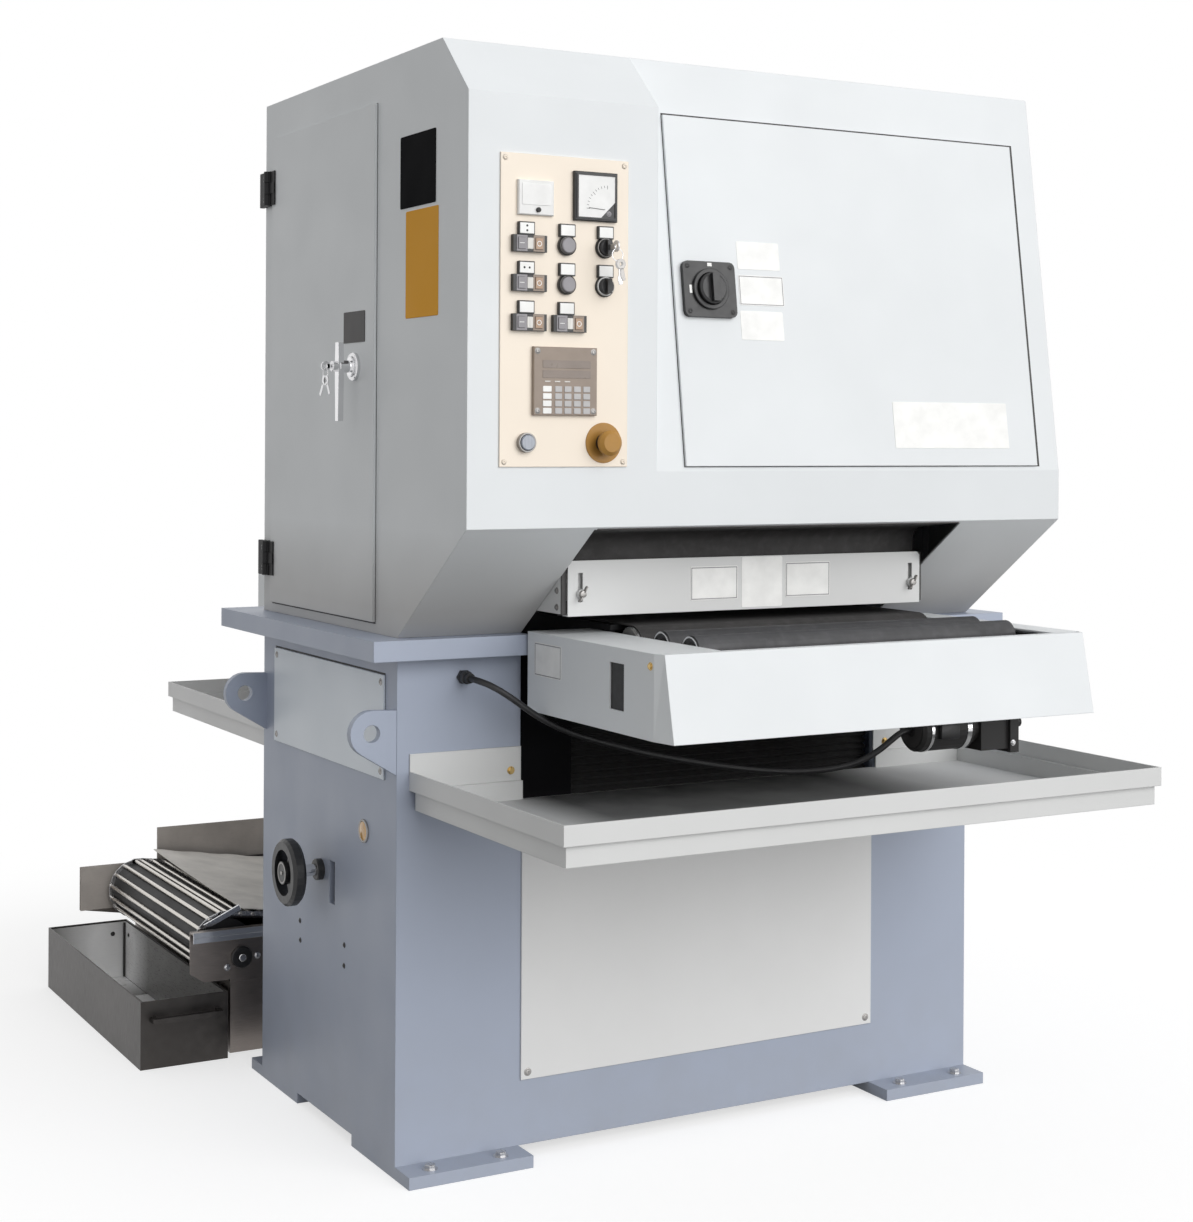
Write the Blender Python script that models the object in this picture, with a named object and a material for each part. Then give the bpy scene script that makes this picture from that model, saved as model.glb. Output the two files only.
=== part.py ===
"""Wide-belt (drum) wet sander: steel base, hood with the sanding head, feed table that is
wound up and down, coolant trays and a free-standing coolant filter.

Metres, +Z up.  Lengths are written in the machine's own axes: X along the front from the
base's left face, Y towards the back from the base's front face, Z up from the floor.
The root empty moves everything so that the world origin is the middle of the footprint.
"""
import math

import bmesh
import bpy
from mathutils import Matrix, Vector

# ---------------------------------------------------------------- driving dimensions
FIT = 0.0003            # gap between pieces that touch
SHEET = 0.003           # folded sheet steel
LAP = 0.001             # how far two shapes run into each other before they are joined

# base
BASE_W = 1.220
BASE_D = 0.645
BASE_H = 0.880
BASE_WALL = 0.010
FOOT_T = 0.020
FOOT_W = 0.233
FOOT_D = 0.250
FOOT_OUT = 0.060        # how far a foot stands out in front of and behind the base
FLANGE_T = 0.034
FLANGE_OUT = 0.060      # at the sides
FLANGE_FRONT = 0.040
FLANGE_REAR = 0.082
COVER_T = 0.003
COVER_LAP = 0.030       # how far a cover laps over the edge of its opening
THROAT_X0 = 0.234       # the passage for the feed table and the work
THROAT_X1 = BASE_W - 0.227
PASSAGE_SILL = BASE_H - 0.280
FRONT_COVER_Z = (0.134, BASE_H - 0.295)
LEFT_COVER_Y = (0.050, BASE_D - 0.065)
LEFT_COVER_Z = (BASE_H - 0.212, BASE_H - 0.033)
LUG_T = 0.015
LUG_R = 0.039
LUG_HOLE_R = 0.015
LUG_X = 0.045           # hole centre, out from the side of the base
LUG_Z = BASE_H - 0.125
LUG_DROP = 0.076
LIFT_BEAM_Z = (BASE_H - 0.485, BASE_H - 0.465)
LIFT_BEAM_W = 0.060
SLOT_Y = 0.287
SLOT_Z = (BASE_H - 0.471, BASE_H - 0.394)
SLOT_W = 0.026

# hood
HOOD_H = 0.986
HOOD_D = BASE_D + 0.003
HOOD_FRONT = -0.267     # Y of the front face
HOOD_TOP_FRONT = -0.169  # Y where the top ends
LIP_Z = BASE_H + 0.228  # lower edge of the hood's front
BEVEL_Z = BASE_H + 0.923  # left section: foot of the short bevel under the top
SLOPE_Z = BASE_H + 0.319  # right section: foot of the long slope
SECTION_X = 0.348       # where the left section ends
DOOR_T = 0.0055
DOOR_GAP = 0.0005
DOOR_RIM = 0.014
DOOR_LAP = 0.020
LEFT_DOOR_Y = (0.095, BASE_D - 0.045)
LEFT_DOOR_Z = (BASE_H + 0.054, BASE_H + 0.950)
HINGE_Z = (BASE_H + 0.138, BASE_H + 0.855)
HINGE_H = 0.066
FRONT_DOOR_X = (0.404, BASE_W - 0.055)
FRONT_DOOR_Z = (BASE_H + 0.327, BASE_H + 0.925)
SWITCH_X = 0.470
SWITCH_Z = BASE_H + 0.626
SWITCH_PLATE = (0.104, 0.096, 0.008)
SWITCH_CORNER = 0.010
SWITCH_KNOB_R = 0.027
SWITCH_KNOB_H = 0.022
HANDLE_Y = 0.179
HANDLE_Z = BASE_H + 0.4975
HANDLE_RISE = 0.042
HANDLE_DROP = 0.096

# control panel
PANEL_X = (0.056, 0.290)
PANEL_Z = (BASE_H + 0.327, BASE_H + 0.828)
PANEL_T = 0.0025
PANEL_LAP = 0.012       # how far the panel laps over the edge of its opening
COLUMN_X = (0.105, 0.174, 0.245)
ROW_Z = (BASE_H + 0.684, BASE_H + 0.621, BASE_H + 0.558)
LOW_ROW_Z = BASE_H + 0.366
STATION_PITCH = 0.031   # between the two buttons of one station
BUTTON_W = 0.0125
BUTTON_H = 0.018
BUTTON_TRAVEL = 0.003
BUTTON_DEPTH = 0.007
STEM_R = 0.0035
STEM_L = 0.020
ROUND_BUTTON_R = 0.0125
STOP_R = 0.021
KNOB_R = 0.013
AMMETER_SIZE = 0.080
AMMETER_AT = (0.226, BASE_H + 0.766)
LOAD_METER_SIZE = (0.064, 0.056)
LOAD_METER_AT = (0.117, BASE_H + 0.758)
KEYPAD_X = (0.113, 0.229)
KEYPAD_Z = (BASE_H + 0.410, BASE_H + 0.520)

# guard in the throat
GUARD_X = (0.244, BASE_W - 0.235)
GUARD_Z = (BASE_H + 0.073, BASE_H + 0.167)
GUARD_Y = -0.150
GUARD_BOLT_X = (0.268, BASE_W - 0.257)
GUARD_BOLT_Z = BASE_H + 0.111
GUARD_SLOT_Z = (BASE_H + 0.097, BASE_H + 0.146)
GUARD_SLOT_W = 0.009
GUARD_BOLT_R = 0.004
GUARD_HEAD_T = 0.0057   # of the bolts' heads

# feed table
BELT_TOP = BASE_H + 0.055
BELT_T = 0.002
BELT_X = (0.362, BASE_W - 0.244)
BED_T = 0.010
TABLE_PLATE_T = 0.007
TABLE_LEFT_X = 0.346    # left face of the left side plate
TABLE_RIGHT_X = BASE_W - 0.2395  # left face of the right side plate inside the throat
TABLE_WIDE_X = BASE_W - 0.201  # left face of the right side plate in front of the throat
TABLE_Y = (-0.440, BASE_D + 0.605)
TABLE_BOTTOM = BASE_H - 0.080
TABLE_NECK_Y = -0.075   # the wide front part ends here
CROSS_Z = (BASE_H - 0.080, BASE_H - 0.052)
FEED_ROLLER_R = 0.034
FEED_DRIVE_Y = -0.165
FEED_TAIL_Y = BASE_D + 0.535
INFEED_R = 0.027
INFEED_Y = (-0.362, -0.272)
INFEED_X = (0.358, BASE_W - 0.205)
ROLLER_SHAFT_R = 0.010
SKIRT_X = (0.224, BASE_W - 0.134)
SKIRT_Z = (BASE_H - 0.095, BASE_H + 0.041)
SKIRT_BACK = -0.046
SKIRT_SIDE_FRONT = -0.470
FASCIA_TOP_Y = -0.489
FASCIA_LOW_Y = -0.518
REAR_SKIRT_Y = (BASE_D + 0.090, BASE_D + 0.655)
REAR_SKIRT_TOP = BASE_H + 0.064
GEAR_MOTOR_X = (BASE_W - 0.405, BASE_W - 0.218)
GEAR_MOTOR_Y = -0.350
GEAR_MOTOR_Z = BASE_H - 0.129
GEAR_MOTOR_R = 0.038

# lift
SCREW_R = 0.012
SCREW_X = (0.420, BASE_W - 0.300)
SCREW_Y = (0.120, BASE_D - 0.115)
SCREW_TOP = BASE_H - 0.074
NUT_R = 0.024
NUT_BOTTOM = BASE_H - 0.130
SCREW_COLLAR_R = 0.022
WHEEL_Y = 0.341
WHEEL_Z = BASE_H - 0.418
WHEEL_X = -0.062
WHEEL_R = 0.0605
WHEEL_SHAFT_R = 0.009
WHEEL_SHAFT_IN = 0.180

# trays
TRAY_X = (0.023, BASE_W - 0.018)
TRAY_H = 0.065
TRAY_STEP = 0.008
TRAY_LOW = 0.033        # height of the lower, narrower part
FRONT_TRAY_Y = -0.553
FRONT_TRAY_Z = BASE_H - 0.258
REAR_TRAY_Y = BASE_D + 0.685
REAR_TRAY_Z = BASE_H - 0.245
TRAY_TAB_H = 0.030

# sanding head
HEAD_Y = 0.300
DRUM_R = 0.105
DRUM_X = (0.370, BASE_W - 0.252)
DRUM_SHAFT_R = 0.022
DRUM_GAP = 0.016        # between the feed belt and the abrasive belt
ABRASIVE_T = 0.0015
TENSION_R = 0.060
TENSION_Z = BASE_H + 0.840
UPRIGHT_LEFT_X = (0.150, 0.172)
UPRIGHT_RIGHT_X = (BASE_W - 0.200, BASE_W - 0.178)
UPRIGHT_Y = (0.180, 0.420)
UPRIGHT_TOP = BASE_H + 0.600
HEAD_BEAM_Z = (BASE_H + 0.420, BASE_H + 0.500)
HEAD_BEAM_Y = (0.265, 0.335)
YOKE_BAR_Z = (BASE_H + 0.680, BASE_H + 0.710)
YOKE_ROD_R = 0.014
YOKE_SLEEVE_R = 0.024
MOTOR_Y = BASE_D - 0.115
MOTOR_Z = BASE_H + 0.550
MOTOR_R = 0.085
MOTOR_X = (BASE_W - 0.580, BASE_W - 0.250)
PULLEY_X = (BASE_W - 0.134, BASE_W - 0.098)
MOTOR_PULLEY_R = 0.055
MOTOR_SHAFT_R = 0.0142
DRUM_PULLEY_R = 0.050
V_BELT_T = 0.008

# cable from the base to the feed motor
GLAND_X = 0.123
GLAND_Z = BASE_H - 0.037
GLAND_R = 0.011
GLAND_L = 0.030
CABLE_R = 0.0055

# coolant filter, free-standing on the floor behind the base
TANK_X = (-0.005, 0.860)
TANK_Y = (BASE_D + 0.175, BASE_D + 0.835)
TANK_H = 0.145
SLUDGE_X = (-0.200, -0.020)
SLUDGE_Y = (BASE_D + 0.145, BASE_D + 0.855)
SLUDGE_H = 0.135
SLUDGE_HANDLE_Z = 0.100
SLUDGE_HANDLE_OUT = 0.028
FILTER_SIDE_X1 = 0.600
FILTER_NEAR_X = -0.090  # where the near side plate's upper part starts
FILTER_FAR_X = -0.135   # and the far one's
FILTER_NEAR_TOP = 0.255
FILTER_FAR_TOP = 0.345
FILTER_FAR_STEP = 0.270  # top of the far plate's arm
FILTER_HEAD_X = -0.008
FILTER_HEAD_Z = 0.215
FILTER_ROLLER_R = 0.055
FILTER_BELT_T = 0.003
FILTER_TAIL_X = 0.540
FILTER_TAIL_Z = 0.175
FILTER_TAIL_R = 0.030

# ---------------------------------------------------------------- worked-out places
FLANGE_Z = (BASE_H - LAP, BASE_H + FLANGE_T)
FLANGE_X = (-FLANGE_OUT, BASE_W + FLANGE_OUT)
HOOD_Z0 = FLANGE_Z[1] + FIT
HOOD_TOP = HOOD_Z0 + HOOD_H
SLOPE_START = Vector((0.0, HOOD_FRONT, SLOPE_Z))
SLOPE_END = Vector((0.0, HOOD_TOP_FRONT, HOOD_TOP))
SLOPE_UP = (SLOPE_END - SLOPE_START).normalized()
SLOPE_OUT = Vector((0.0, -SLOPE_UP.z, SLOPE_UP.y))
PANEL_FACE = HOOD_FRONT - FIT - PANEL_T
BED_Z = (BELT_TOP - BELT_T - FIT - BED_T, BELT_TOP - BELT_T - FIT)
FEED_ROLLER_Z = BELT_TOP - BELT_T - FIT - FEED_ROLLER_R
INFEED_Z = BELT_TOP - INFEED_R
DRUM_Z = BELT_TOP + DRUM_GAP + ABRASIVE_T + FIT + DRUM_R
YOKE_REACH = TENSION_Z + 0.022
ORIGIN = Vector(((SLUDGE_X[0] + BASE_W + LUG_X + LUG_R) / 2, (FRONT_TRAY_Y + SLUDGE_Y[1]) / 2, 0.0))

ROUND = 32              # sides of a large round piece
MEDIUM_ROUND = 24
SMALL_ROUND = 16
TINY_ROUND = 12

# ---------------------------------------------------------------- materials
PAINTS = {
    "base_paint": ((0.355, 0.398, 0.475), 0.45, 0.0),
    "hood_paint": ((0.800, 0.840, 0.860), 0.38, 0.0),
    "tray_paint": ((0.670, 0.690, 0.690), 0.42, 0.0),
    "cream_plate": ((0.930, 0.830, 0.705), 0.40, 0.0),
    "black_plastic": ((0.012, 0.012, 0.013), 0.42, 0.0),
    "grey_plastic": ((0.250, 0.240, 0.235), 0.45, 0.0),
    "white_plastic": ((0.800, 0.800, 0.790), 0.35, 0.0),
    "red_plastic": ((0.420, 0.160, 0.080), 0.40, 0.0),
    "blue_lens": ((0.350, 0.400, 0.520), 0.25, 0.0),
    "amber_plastic": ((0.500, 0.210, 0.030), 0.38, 0.0),
    "steel": ((0.420, 0.420, 0.425), 0.35, 1.0),
    "chrome": ((0.750, 0.750, 0.760), 0.12, 1.0),
    "stainless": ((0.300, 0.290, 0.285), 0.30, 1.0),
    "belt_rubber": ((0.035, 0.032, 0.031), 0.70, 0.0),
    "roller_rubber": ((0.150, 0.150, 0.160), 0.60, 0.0),
    "abrasive_cloth": ((0.160, 0.070, 0.035), 0.90, 0.0),
    "cable_rubber": ((0.010, 0.010, 0.010), 0.55, 0.0),
}


def paint(name):
    """One Principled material for a paint of the table."""
    material = bpy.data.materials.get(name)
    if material is None:
        colour, roughness, metallic = PAINTS[name]
        material = bpy.data.materials.new(name)
        material.use_nodes = True
        shader = material.node_tree.nodes["Principled BSDF"]
        shader.inputs["Base Color"].default_value = (*colour, 1.0)
        shader.inputs["Roughness"].default_value = roughness
        shader.inputs["Metallic"].default_value = metallic
    return material


# ---------------------------------------------------------------- modelling tools
def solid(bm):
    """Turns a bmesh into an object, with its faces pointing out."""
    bmesh.ops.recalc_face_normals(bm, faces=bm.faces)
    mesh = bpy.data.meshes.new("solid")
    bm.to_mesh(mesh)
    bm.free()
    shape = bpy.data.objects.new("solid", mesh)
    bpy.context.scene.collection.objects.link(shape)
    return shape


def block(x, y, z):
    """A box between three pairs of planes."""
    bm = bmesh.new()
    bmesh.ops.create_cube(bm, size=1.0)
    for vert in bm.verts:
        vert.co = Vector(((x[0] + x[1]) / 2 + vert.co.x * (x[1] - x[0]),
                          (y[0] + y[1]) / 2 + vert.co.y * (y[1] - y[0]),
                          (z[0] + z[1]) / 2 + vert.co.z * (z[1] - z[0])))
    return solid(bm)


def at(axis, along, u, v):
    """A point from its place along an axis and its two other coordinates, in X, Y, Z order."""
    return Vector({"X": (along, u, v), "Y": (u, along, v), "Z": (u, v, along)}[axis])


def prism(axis, outline, span):
    """A flat outline pushed along an axis."""
    bm = bmesh.new()
    bottom = [bm.verts.new(at(axis, span[0], u, v)) for u, v in outline]
    top = [bm.verts.new(at(axis, span[1], u, v)) for u, v in outline]
    bm.faces.new(bottom)
    bm.faces.new(top)
    bridge(bm, bottom, top)
    return solid(bm)


def bridge(bm, loop_a, loop_b):
    """Quads between two closed loops with as many points."""
    count = len(loop_a)
    for i in range(count):
        j = (i + 1) % count
        bm.faces.new((loop_a[i], loop_a[j], loop_b[j], loop_b[i]))


def circle(radius, sides, centre=(0.0, 0.0), start=0.0, sweep=2 * math.pi):
    """Points on a circle or an arc; an arc holds both its ends."""
    whole = math.isclose(abs(sweep), 2 * math.pi)
    steps = sides if whole else sides - 1
    return [(centre[0] + radius * math.cos(start + sweep * i / steps),
             centre[1] + radius * math.sin(start + sweep * i / steps)) for i in range(sides)]


def round_corners(u, v, radius):
    """A rectangle's outline with round corners."""
    corners = ((u[1] - radius, v[1] - radius), (u[0] + radius, v[1] - radius),
               (u[0] + radius, v[0] + radius), (u[1] - radius, v[0] + radius))
    points = []
    for i, centre in enumerate(corners):
        points += circle(radius, 4, centre, math.radians(90 * i), math.radians(90))
    return points


def turned(axis, centre, profile, sides=ROUND):
    """A profile of (radius, place along the axis) turned about the axis; both ends are closed."""
    bm = bmesh.new()
    rings = []
    for radius, along in profile:
        rings.append([bm.verts.new(at(axis, along, u, v)) for u, v in circle(radius, sides, centre)])
    for ring_a, ring_b in zip(rings, rings[1:]):
        bridge(bm, ring_a, ring_b)
    bm.faces.new(rings[0])
    bm.faces.new(rings[-1])
    return solid(bm)


def rod(axis, centre, radius, span, sides=SMALL_ROUND):
    """A plain round bar along an axis."""
    return turned(axis, centre, [(radius, span[0]), (radius, span[1])], sides)


def combine(shape, operand, operation):
    """One Boolean, worked out at once; the operand is used up."""
    modifier = shape.modifiers.new("combine", "BOOLEAN")
    modifier.operation = operation
    modifier.object = operand
    bpy.context.view_layer.update()
    depsgraph = bpy.context.evaluated_depsgraph_get()
    result = bpy.data.meshes.new_from_object(shape.evaluated_get(depsgraph))
    shape.modifiers.remove(modifier)
    shape.data = result
    bpy.data.objects.remove(operand)
    return shape


def fuse(shape, *operands):
    """Joins shapes into one body."""
    for operand in operands:
        combine(shape, operand, "UNION")
    return shape


def cut(shape, *operands):
    """Cuts shapes away."""
    for operand in operands:
        combine(shape, operand, "DIFFERENCE")
    return shape


def inset(outline, distances):
    """Moves each edge of an outline inwards by its own distance; edge i runs from point i."""
    area = sum(a[0] * b[1] - b[0] * a[1] for a, b in zip(outline, outline[1:] + outline[:1]))
    side = 1.0 if area > 0 else -1.0
    lines = []
    for (u0, v0), (u1, v1), distance in zip(outline, outline[1:] + outline[:1], distances):
        length = math.hypot(u1 - u0, v1 - v0)
        normal = (-(v1 - v0) / length * side, (u1 - u0) / length * side)
        lines.append((normal, normal[0] * u0 + normal[1] * v0 + distance))
    points = []
    for (n0, c0), (n1, c1) in zip(lines[-1:] + lines[:-1], lines):
        det = n0[0] * n1[1] - n0[1] * n1[0]
        points.append(((c0 * n1[1] - c1 * n0[1]) / det, (n0[0] * c1 - n1[0] * c0) / det))
    return points


def belt_outline(centre_a, radius_a, centre_b, radius_b, sides):
    """The tight loop round two circles, each with as many points on its arc.

    The points stand out a little, so that the middle of each flat still clears its circle.
    """
    du, dv = centre_b[0] - centre_a[0], centre_b[1] - centre_a[1]
    heading = math.atan2(dv, du)
    lean = math.acos((radius_a - radius_b) / math.hypot(du, dv))
    arcs = []
    for centre, radius, start, sweep in ((centre_a, radius_a, heading + lean, 2 * math.pi - 2 * lean),
                                         (centre_b, radius_b, heading - lean, 2 * lean)):
        outer = radius / math.cos(sweep / (sides - 1) / 2)
        arcs += circle(outer, sides, centre, start, sweep)
    return arcs


def belt_loop(axis, ends, thickness, span, sides=16):
    """An endless band round two rollers, given as (centre, radius) pairs."""
    (centre_a, radius_a), (centre_b, radius_b) = ends
    bm = bmesh.new()
    loops = []
    for along in span:
        for out in (0.0, thickness):
            outline = belt_outline(centre_a, radius_a + out, centre_b, radius_b + out, sides)
            loops.append([bm.verts.new(at(axis, along, u, v)) for u, v in outline])
    inner_a, outer_a, inner_b, outer_b = loops
    for pair in ((inner_a, outer_a), (outer_a, outer_b), (outer_b, inner_b), (inner_b, inner_a)):
        bridge(bm, *pair)
    return solid(bm)


def lofted(rings):
    """Rectangular rings, each (x, y, z) with x and y as pairs, joined in order and closed."""
    bm = bmesh.new()
    loops = []
    for x, y, z in rings:
        corners = ((x[0], y[0]), (x[1], y[0]), (x[1], y[1]), (x[0], y[1]))
        loops.append([bm.verts.new((u, v, z)) for u, v in corners])
    for loop_a, loop_b in zip(loops, loops[1:]):
        bridge(bm, loop_a, loop_b)
    bm.faces.new(loops[0])
    bm.faces.new(loops[-1])
    return solid(bm)


def shrink(pair, amount):
    """A pair of planes moved towards each other."""
    return (pair[0] + amount, pair[1] - amount)


def mirrored(pair):
    """The same stretch of X, seen from the base's other side."""
    return (BASE_W - pair[1], BASE_W - pair[0])


def onto_slope(shape):
    """Moves a shape from (x, up the slope, out of the slope) to its place on the hood."""
    frame = Matrix((Vector((1, 0, 0)), SLOPE_UP, SLOPE_OUT)).transposed().to_4x4()
    shape.data.transform(Matrix.Translation(SLOPE_START) @ frame)
    return shape


def along_slope(z):
    """How far up the slope a height is."""
    return (z - SLOPE_Z) / SLOPE_UP.z


ROOT = None


def empty(name, place, parent=None):
    """A pivot that a moving piece hangs on."""
    pivot = bpy.data.objects.new(name, None)
    bpy.context.scene.collection.objects.link(pivot)
    pivot.parent = parent
    pivot.location = Vector(place) - parent_place(parent)
    pivot["place"] = list(place)
    return pivot


def parent_place(parent):
    """Where a pivot stands, in the machine's axes."""
    return Vector(parent["place"]) if parent else Vector((0, 0, 0))


def node(name, shape, material, pivot=None, smooth=False):
    """Names a finished shape, gives it its material and hangs it on its pivot."""
    pivot = pivot or ROOT
    shape.name = name
    shape.data.name = name
    shape.data.transform(Matrix.Translation(-parent_place(pivot)))
    shape.data.materials.clear()
    shape.data.materials.append(paint(material))
    if smooth:
        shape.data.shade_smooth()
        shape.data.set_sharp_from_angle(angle=math.radians(40))
    shape.parent = pivot
    return shape


# ---------------------------------------------------------------- base
def lug(side, y0):
    """A lifting lug: a teardrop plate with an eye.  side is -1 at the left, 1 at the right."""
    face = 0.0 if side < 0 else BASE_W
    eye = (face + side * LUG_X, LUG_Z)
    root = face - side * BASE_WALL / 2
    arc = circle(LUG_R, 11, (LUG_X, LUG_Z), math.radians(90), -math.radians(150))
    outline = [(face + side * u, v) for u, v in arc]
    outline += [(root, LUG_Z - LUG_DROP), (root, LUG_Z + LUG_R - 0.002)]
    plate = prism("Y", outline, (y0, y0 + LUG_T))
    return cut(plate, rod("Y", eye, LUG_HOLE_R, (y0 - LUG_T, y0 + 2 * LUG_T)))


def base_frame():
    """Welded base: four walls, feet, table flanges, lifting lugs and the lift beams."""
    inside = (BASE_WALL, BASE_W - BASE_WALL)
    inside_y = (BASE_WALL, BASE_D - BASE_WALL)
    base = block((0, BASE_W), (0, BASE_D), (FOOT_T, BASE_H))
    cut(base, block(inside, inside_y, (0, BASE_H + BASE_WALL)))
    through_y = (-BASE_WALL, BASE_D + BASE_WALL)
    cut(base, block((THROAT_X0, THROAT_X1), through_y, (PASSAGE_SILL, BASE_H + BASE_WALL)))
    window = shrink(FRONT_COVER_Z, COVER_LAP)
    cut(base, block((THROAT_X0 + COVER_LAP, THROAT_X1 - COVER_LAP), (-BASE_WALL, 2 * BASE_WALL), window))
    left_window = shrink(LEFT_COVER_Z, COVER_LAP)
    cut(base, block((-BASE_WALL, 2 * BASE_WALL), shrink(LEFT_COVER_Y, COVER_LAP), left_window))
    cut(base, block((-BASE_WALL, 2 * BASE_WALL), (SLOT_Y - SLOT_W / 2, SLOT_Y + SLOT_W / 2), SLOT_Z))
    cut(base, rod("X", (WHEEL_Y, WHEEL_Z), WHEEL_SHAFT_R + FIT, (-BASE_WALL, 2 * BASE_WALL)))
    for x in ((0, FOOT_W), mirrored((0, FOOT_W))):
        for y in ((-FOOT_OUT, FOOT_D - FOOT_OUT), (BASE_D + FOOT_OUT - FOOT_D, BASE_D + FOOT_OUT)):
            fuse(base, block(x, y, (0, FOOT_T + LAP)))
    flange_y = (-FLANGE_FRONT, BASE_D + FLANGE_REAR)
    for x in ((FLANGE_X[0], THROAT_X0), (THROAT_X1, FLANGE_X[1])):
        fuse(base, block(x, flange_y, FLANGE_Z))
    for side in (-1, 1):
        for y0 in (LAP, BASE_D - LUG_T - LAP):
            fuse(base, lug(side, y0))
    for y in SCREW_Y:
        beam_y = (y - LIFT_BEAM_W / 2, y + LIFT_BEAM_W / 2)
        beam = block(shrink(inside, -BASE_WALL / 2), beam_y, LIFT_BEAM_Z)
        for x in SCREW_X:
            cut(beam, rod("Z", (x, y), SCREW_R + FIT, shrink(LIFT_BEAM_Z, -0.01)))
        fuse(base, beam)
    node("base_frame", base, "base_paint")


def base_covers():
    """The screwed covers in front and at the left."""
    front = block(shrink((THROAT_X0, THROAT_X1), FIT * 10), (-FIT - COVER_T, -FIT), FRONT_COVER_Z)
    node("front_cover", front, "tray_paint")
    left = block((-FIT - COVER_T, -FIT), LEFT_COVER_Y, LEFT_COVER_Z)
    node("left_cover", left, "tray_paint")


def tray(y, z0):
    """A coolant tray with a stepped rim; y is its stretch, front to back."""
    steps = ((TRAY_STEP, 0.0), (TRAY_STEP, TRAY_LOW), (0.0, TRAY_LOW), (0.0, TRAY_H),
             (SHEET, TRAY_H), (SHEET, TRAY_LOW + SHEET), (TRAY_STEP + SHEET, TRAY_LOW + SHEET),
             (TRAY_STEP + SHEET, SHEET))
    return lofted([(shrink(TRAY_X, by), shrink(y, by), z0 + up) for by, up in steps])


def trays():
    """Front and rear coolant trays, open towards the passage and bolted to the base's columns by two tabs."""
    for name, y, z0, inward in (("front_tray", (FRONT_TRAY_Y, -FIT), FRONT_TRAY_Z, -1),
                                ("rear_tray", (BASE_D + FIT, REAR_TRAY_Y), REAR_TRAY_Z, 1)):
        shape = tray(y, z0)
        back = y[1] if inward < 0 else y[0]
        top = z0 + TRAY_H
        tab_y = tuple(sorted((back, back + inward * SHEET)))
        for x in ((TRAY_X[0], THROAT_X0 - FIT), (THROAT_X1 + FIT, TRAY_X[1])):
            fuse(shape, block(x, tab_y, (top - 0.010, top + TRAY_TAB_H)))
        passage_x = (THROAT_X0 - FIT, THROAT_X1 + FIT)
        sill_y = tuple(sorted((back, back + inward * (TRAY_STEP + SHEET * 2))))
        fuse(shape, block(passage_x, sill_y, (z0, z0 + SHEET)))
        wall_y = tuple(sorted((back - inward * SHEET, back + inward * (TRAY_STEP + SHEET * 2))))
        cut(shape, block(passage_x, wall_y, (z0 + SHEET, top + SHEET)))
        node(name, shape, "tray_paint")


# ---------------------------------------------------------------- hood
def hood_outlines():
    """Side views of the hood: the left section and the right section, as (y, z)."""
    low = [(HOOD_D, HOOD_Z0), (HOOD_D, HOOD_TOP), (HOOD_TOP_FRONT, HOOD_TOP)]
    foot = [(HOOD_FRONT, LIP_Z), (0.0, HOOD_Z0)]
    return low + [(HOOD_FRONT, BEVEL_Z)] + foot, low + [(HOOD_FRONT, SLOPE_Z)] + foot


def cabinet_shell():
    """The sheet hood, open below, with the throat and the door openings."""
    left, right = hood_outlines()
    walls = [SHEET] * 5 + [-SHEET * 4]
    shell = prism("X", left, (0, SECTION_X))
    fuse(shell, prism("X", right, (SECTION_X - 0.001, BASE_W)))
    cut(shell, prism("X", inset(left, walls), (SHEET, SECTION_X - SHEET)))
    cut(shell, prism("X", inset(right, walls), (SECTION_X - 2 * SHEET, BASE_W - SHEET)))
    throat_x = (THROAT_X0, THROAT_X1)
    cut(shell, block(throat_x, (HOOD_FRONT + 2 * SHEET, 0.02), (HOOD_Z0 - 0.02, LIP_Z + 0.01)))
    cut(shell, block(throat_x, (HOOD_D - 0.02, HOOD_D + 0.02), (HOOD_Z0 - 0.02, LIP_Z)))
    side_y = shrink(LEFT_DOOR_Y, DOOR_LAP)
    side_z = shrink(LEFT_DOOR_Z, DOOR_LAP)
    for x in ((-0.02, 0.02), (BASE_W - 0.02, BASE_W + 0.02)):
        cut(shell, block(x, side_y, side_z))
    slope_z = (along_slope(FRONT_DOOR_Z[0]) + DOOR_LAP, along_slope(FRONT_DOOR_Z[1]) - DOOR_LAP)
    cut(shell, onto_slope(block(shrink(FRONT_DOOR_X, DOOR_LAP), slope_z, (-0.02, 0.02))))
    through_front = (HOOD_FRONT - 0.02, HOOD_FRONT + 0.02)
    cut(shell, block(shrink(PANEL_X, PANEL_LAP), through_front, shrink(PANEL_Z, PANEL_LAP)))
    for z in HINGE_Z:
        leaf_y = (LEFT_DOOR_Y[1] + 0.004, LEFT_DOOR_Y[1] + 0.058)
        fuse(shell, block((-0.008, LAP), leaf_y, (z - HINGE_H / 2, z + HINGE_H / 2)))
    node("cabinet_shell", shell, "hood_paint")


def pan_door(face, x, y, back):
    """A flat door with a rim that enters its opening; a shape in (x, y, out of the face)."""
    lap = DOOR_LAP + 0.003
    door = block(x, y, (DOOR_GAP, DOOR_T))
    rim = block(shrink(x, lap), shrink(y, lap), (-back, DOOR_GAP + 0.001))
    cut(rim, block(shrink(x, lap + SHEET), shrink(y, lap + SHEET), (-back - 0.01, DOOR_GAP * 4)))
    fuse(door, rim)
    if face == "left":
        turn = Matrix(((0, 0, -1), (1, 0, 0), (0, 1, 0))).to_4x4()
        door.data.transform(turn)
        door.data.flip_normals()
    return door


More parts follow.
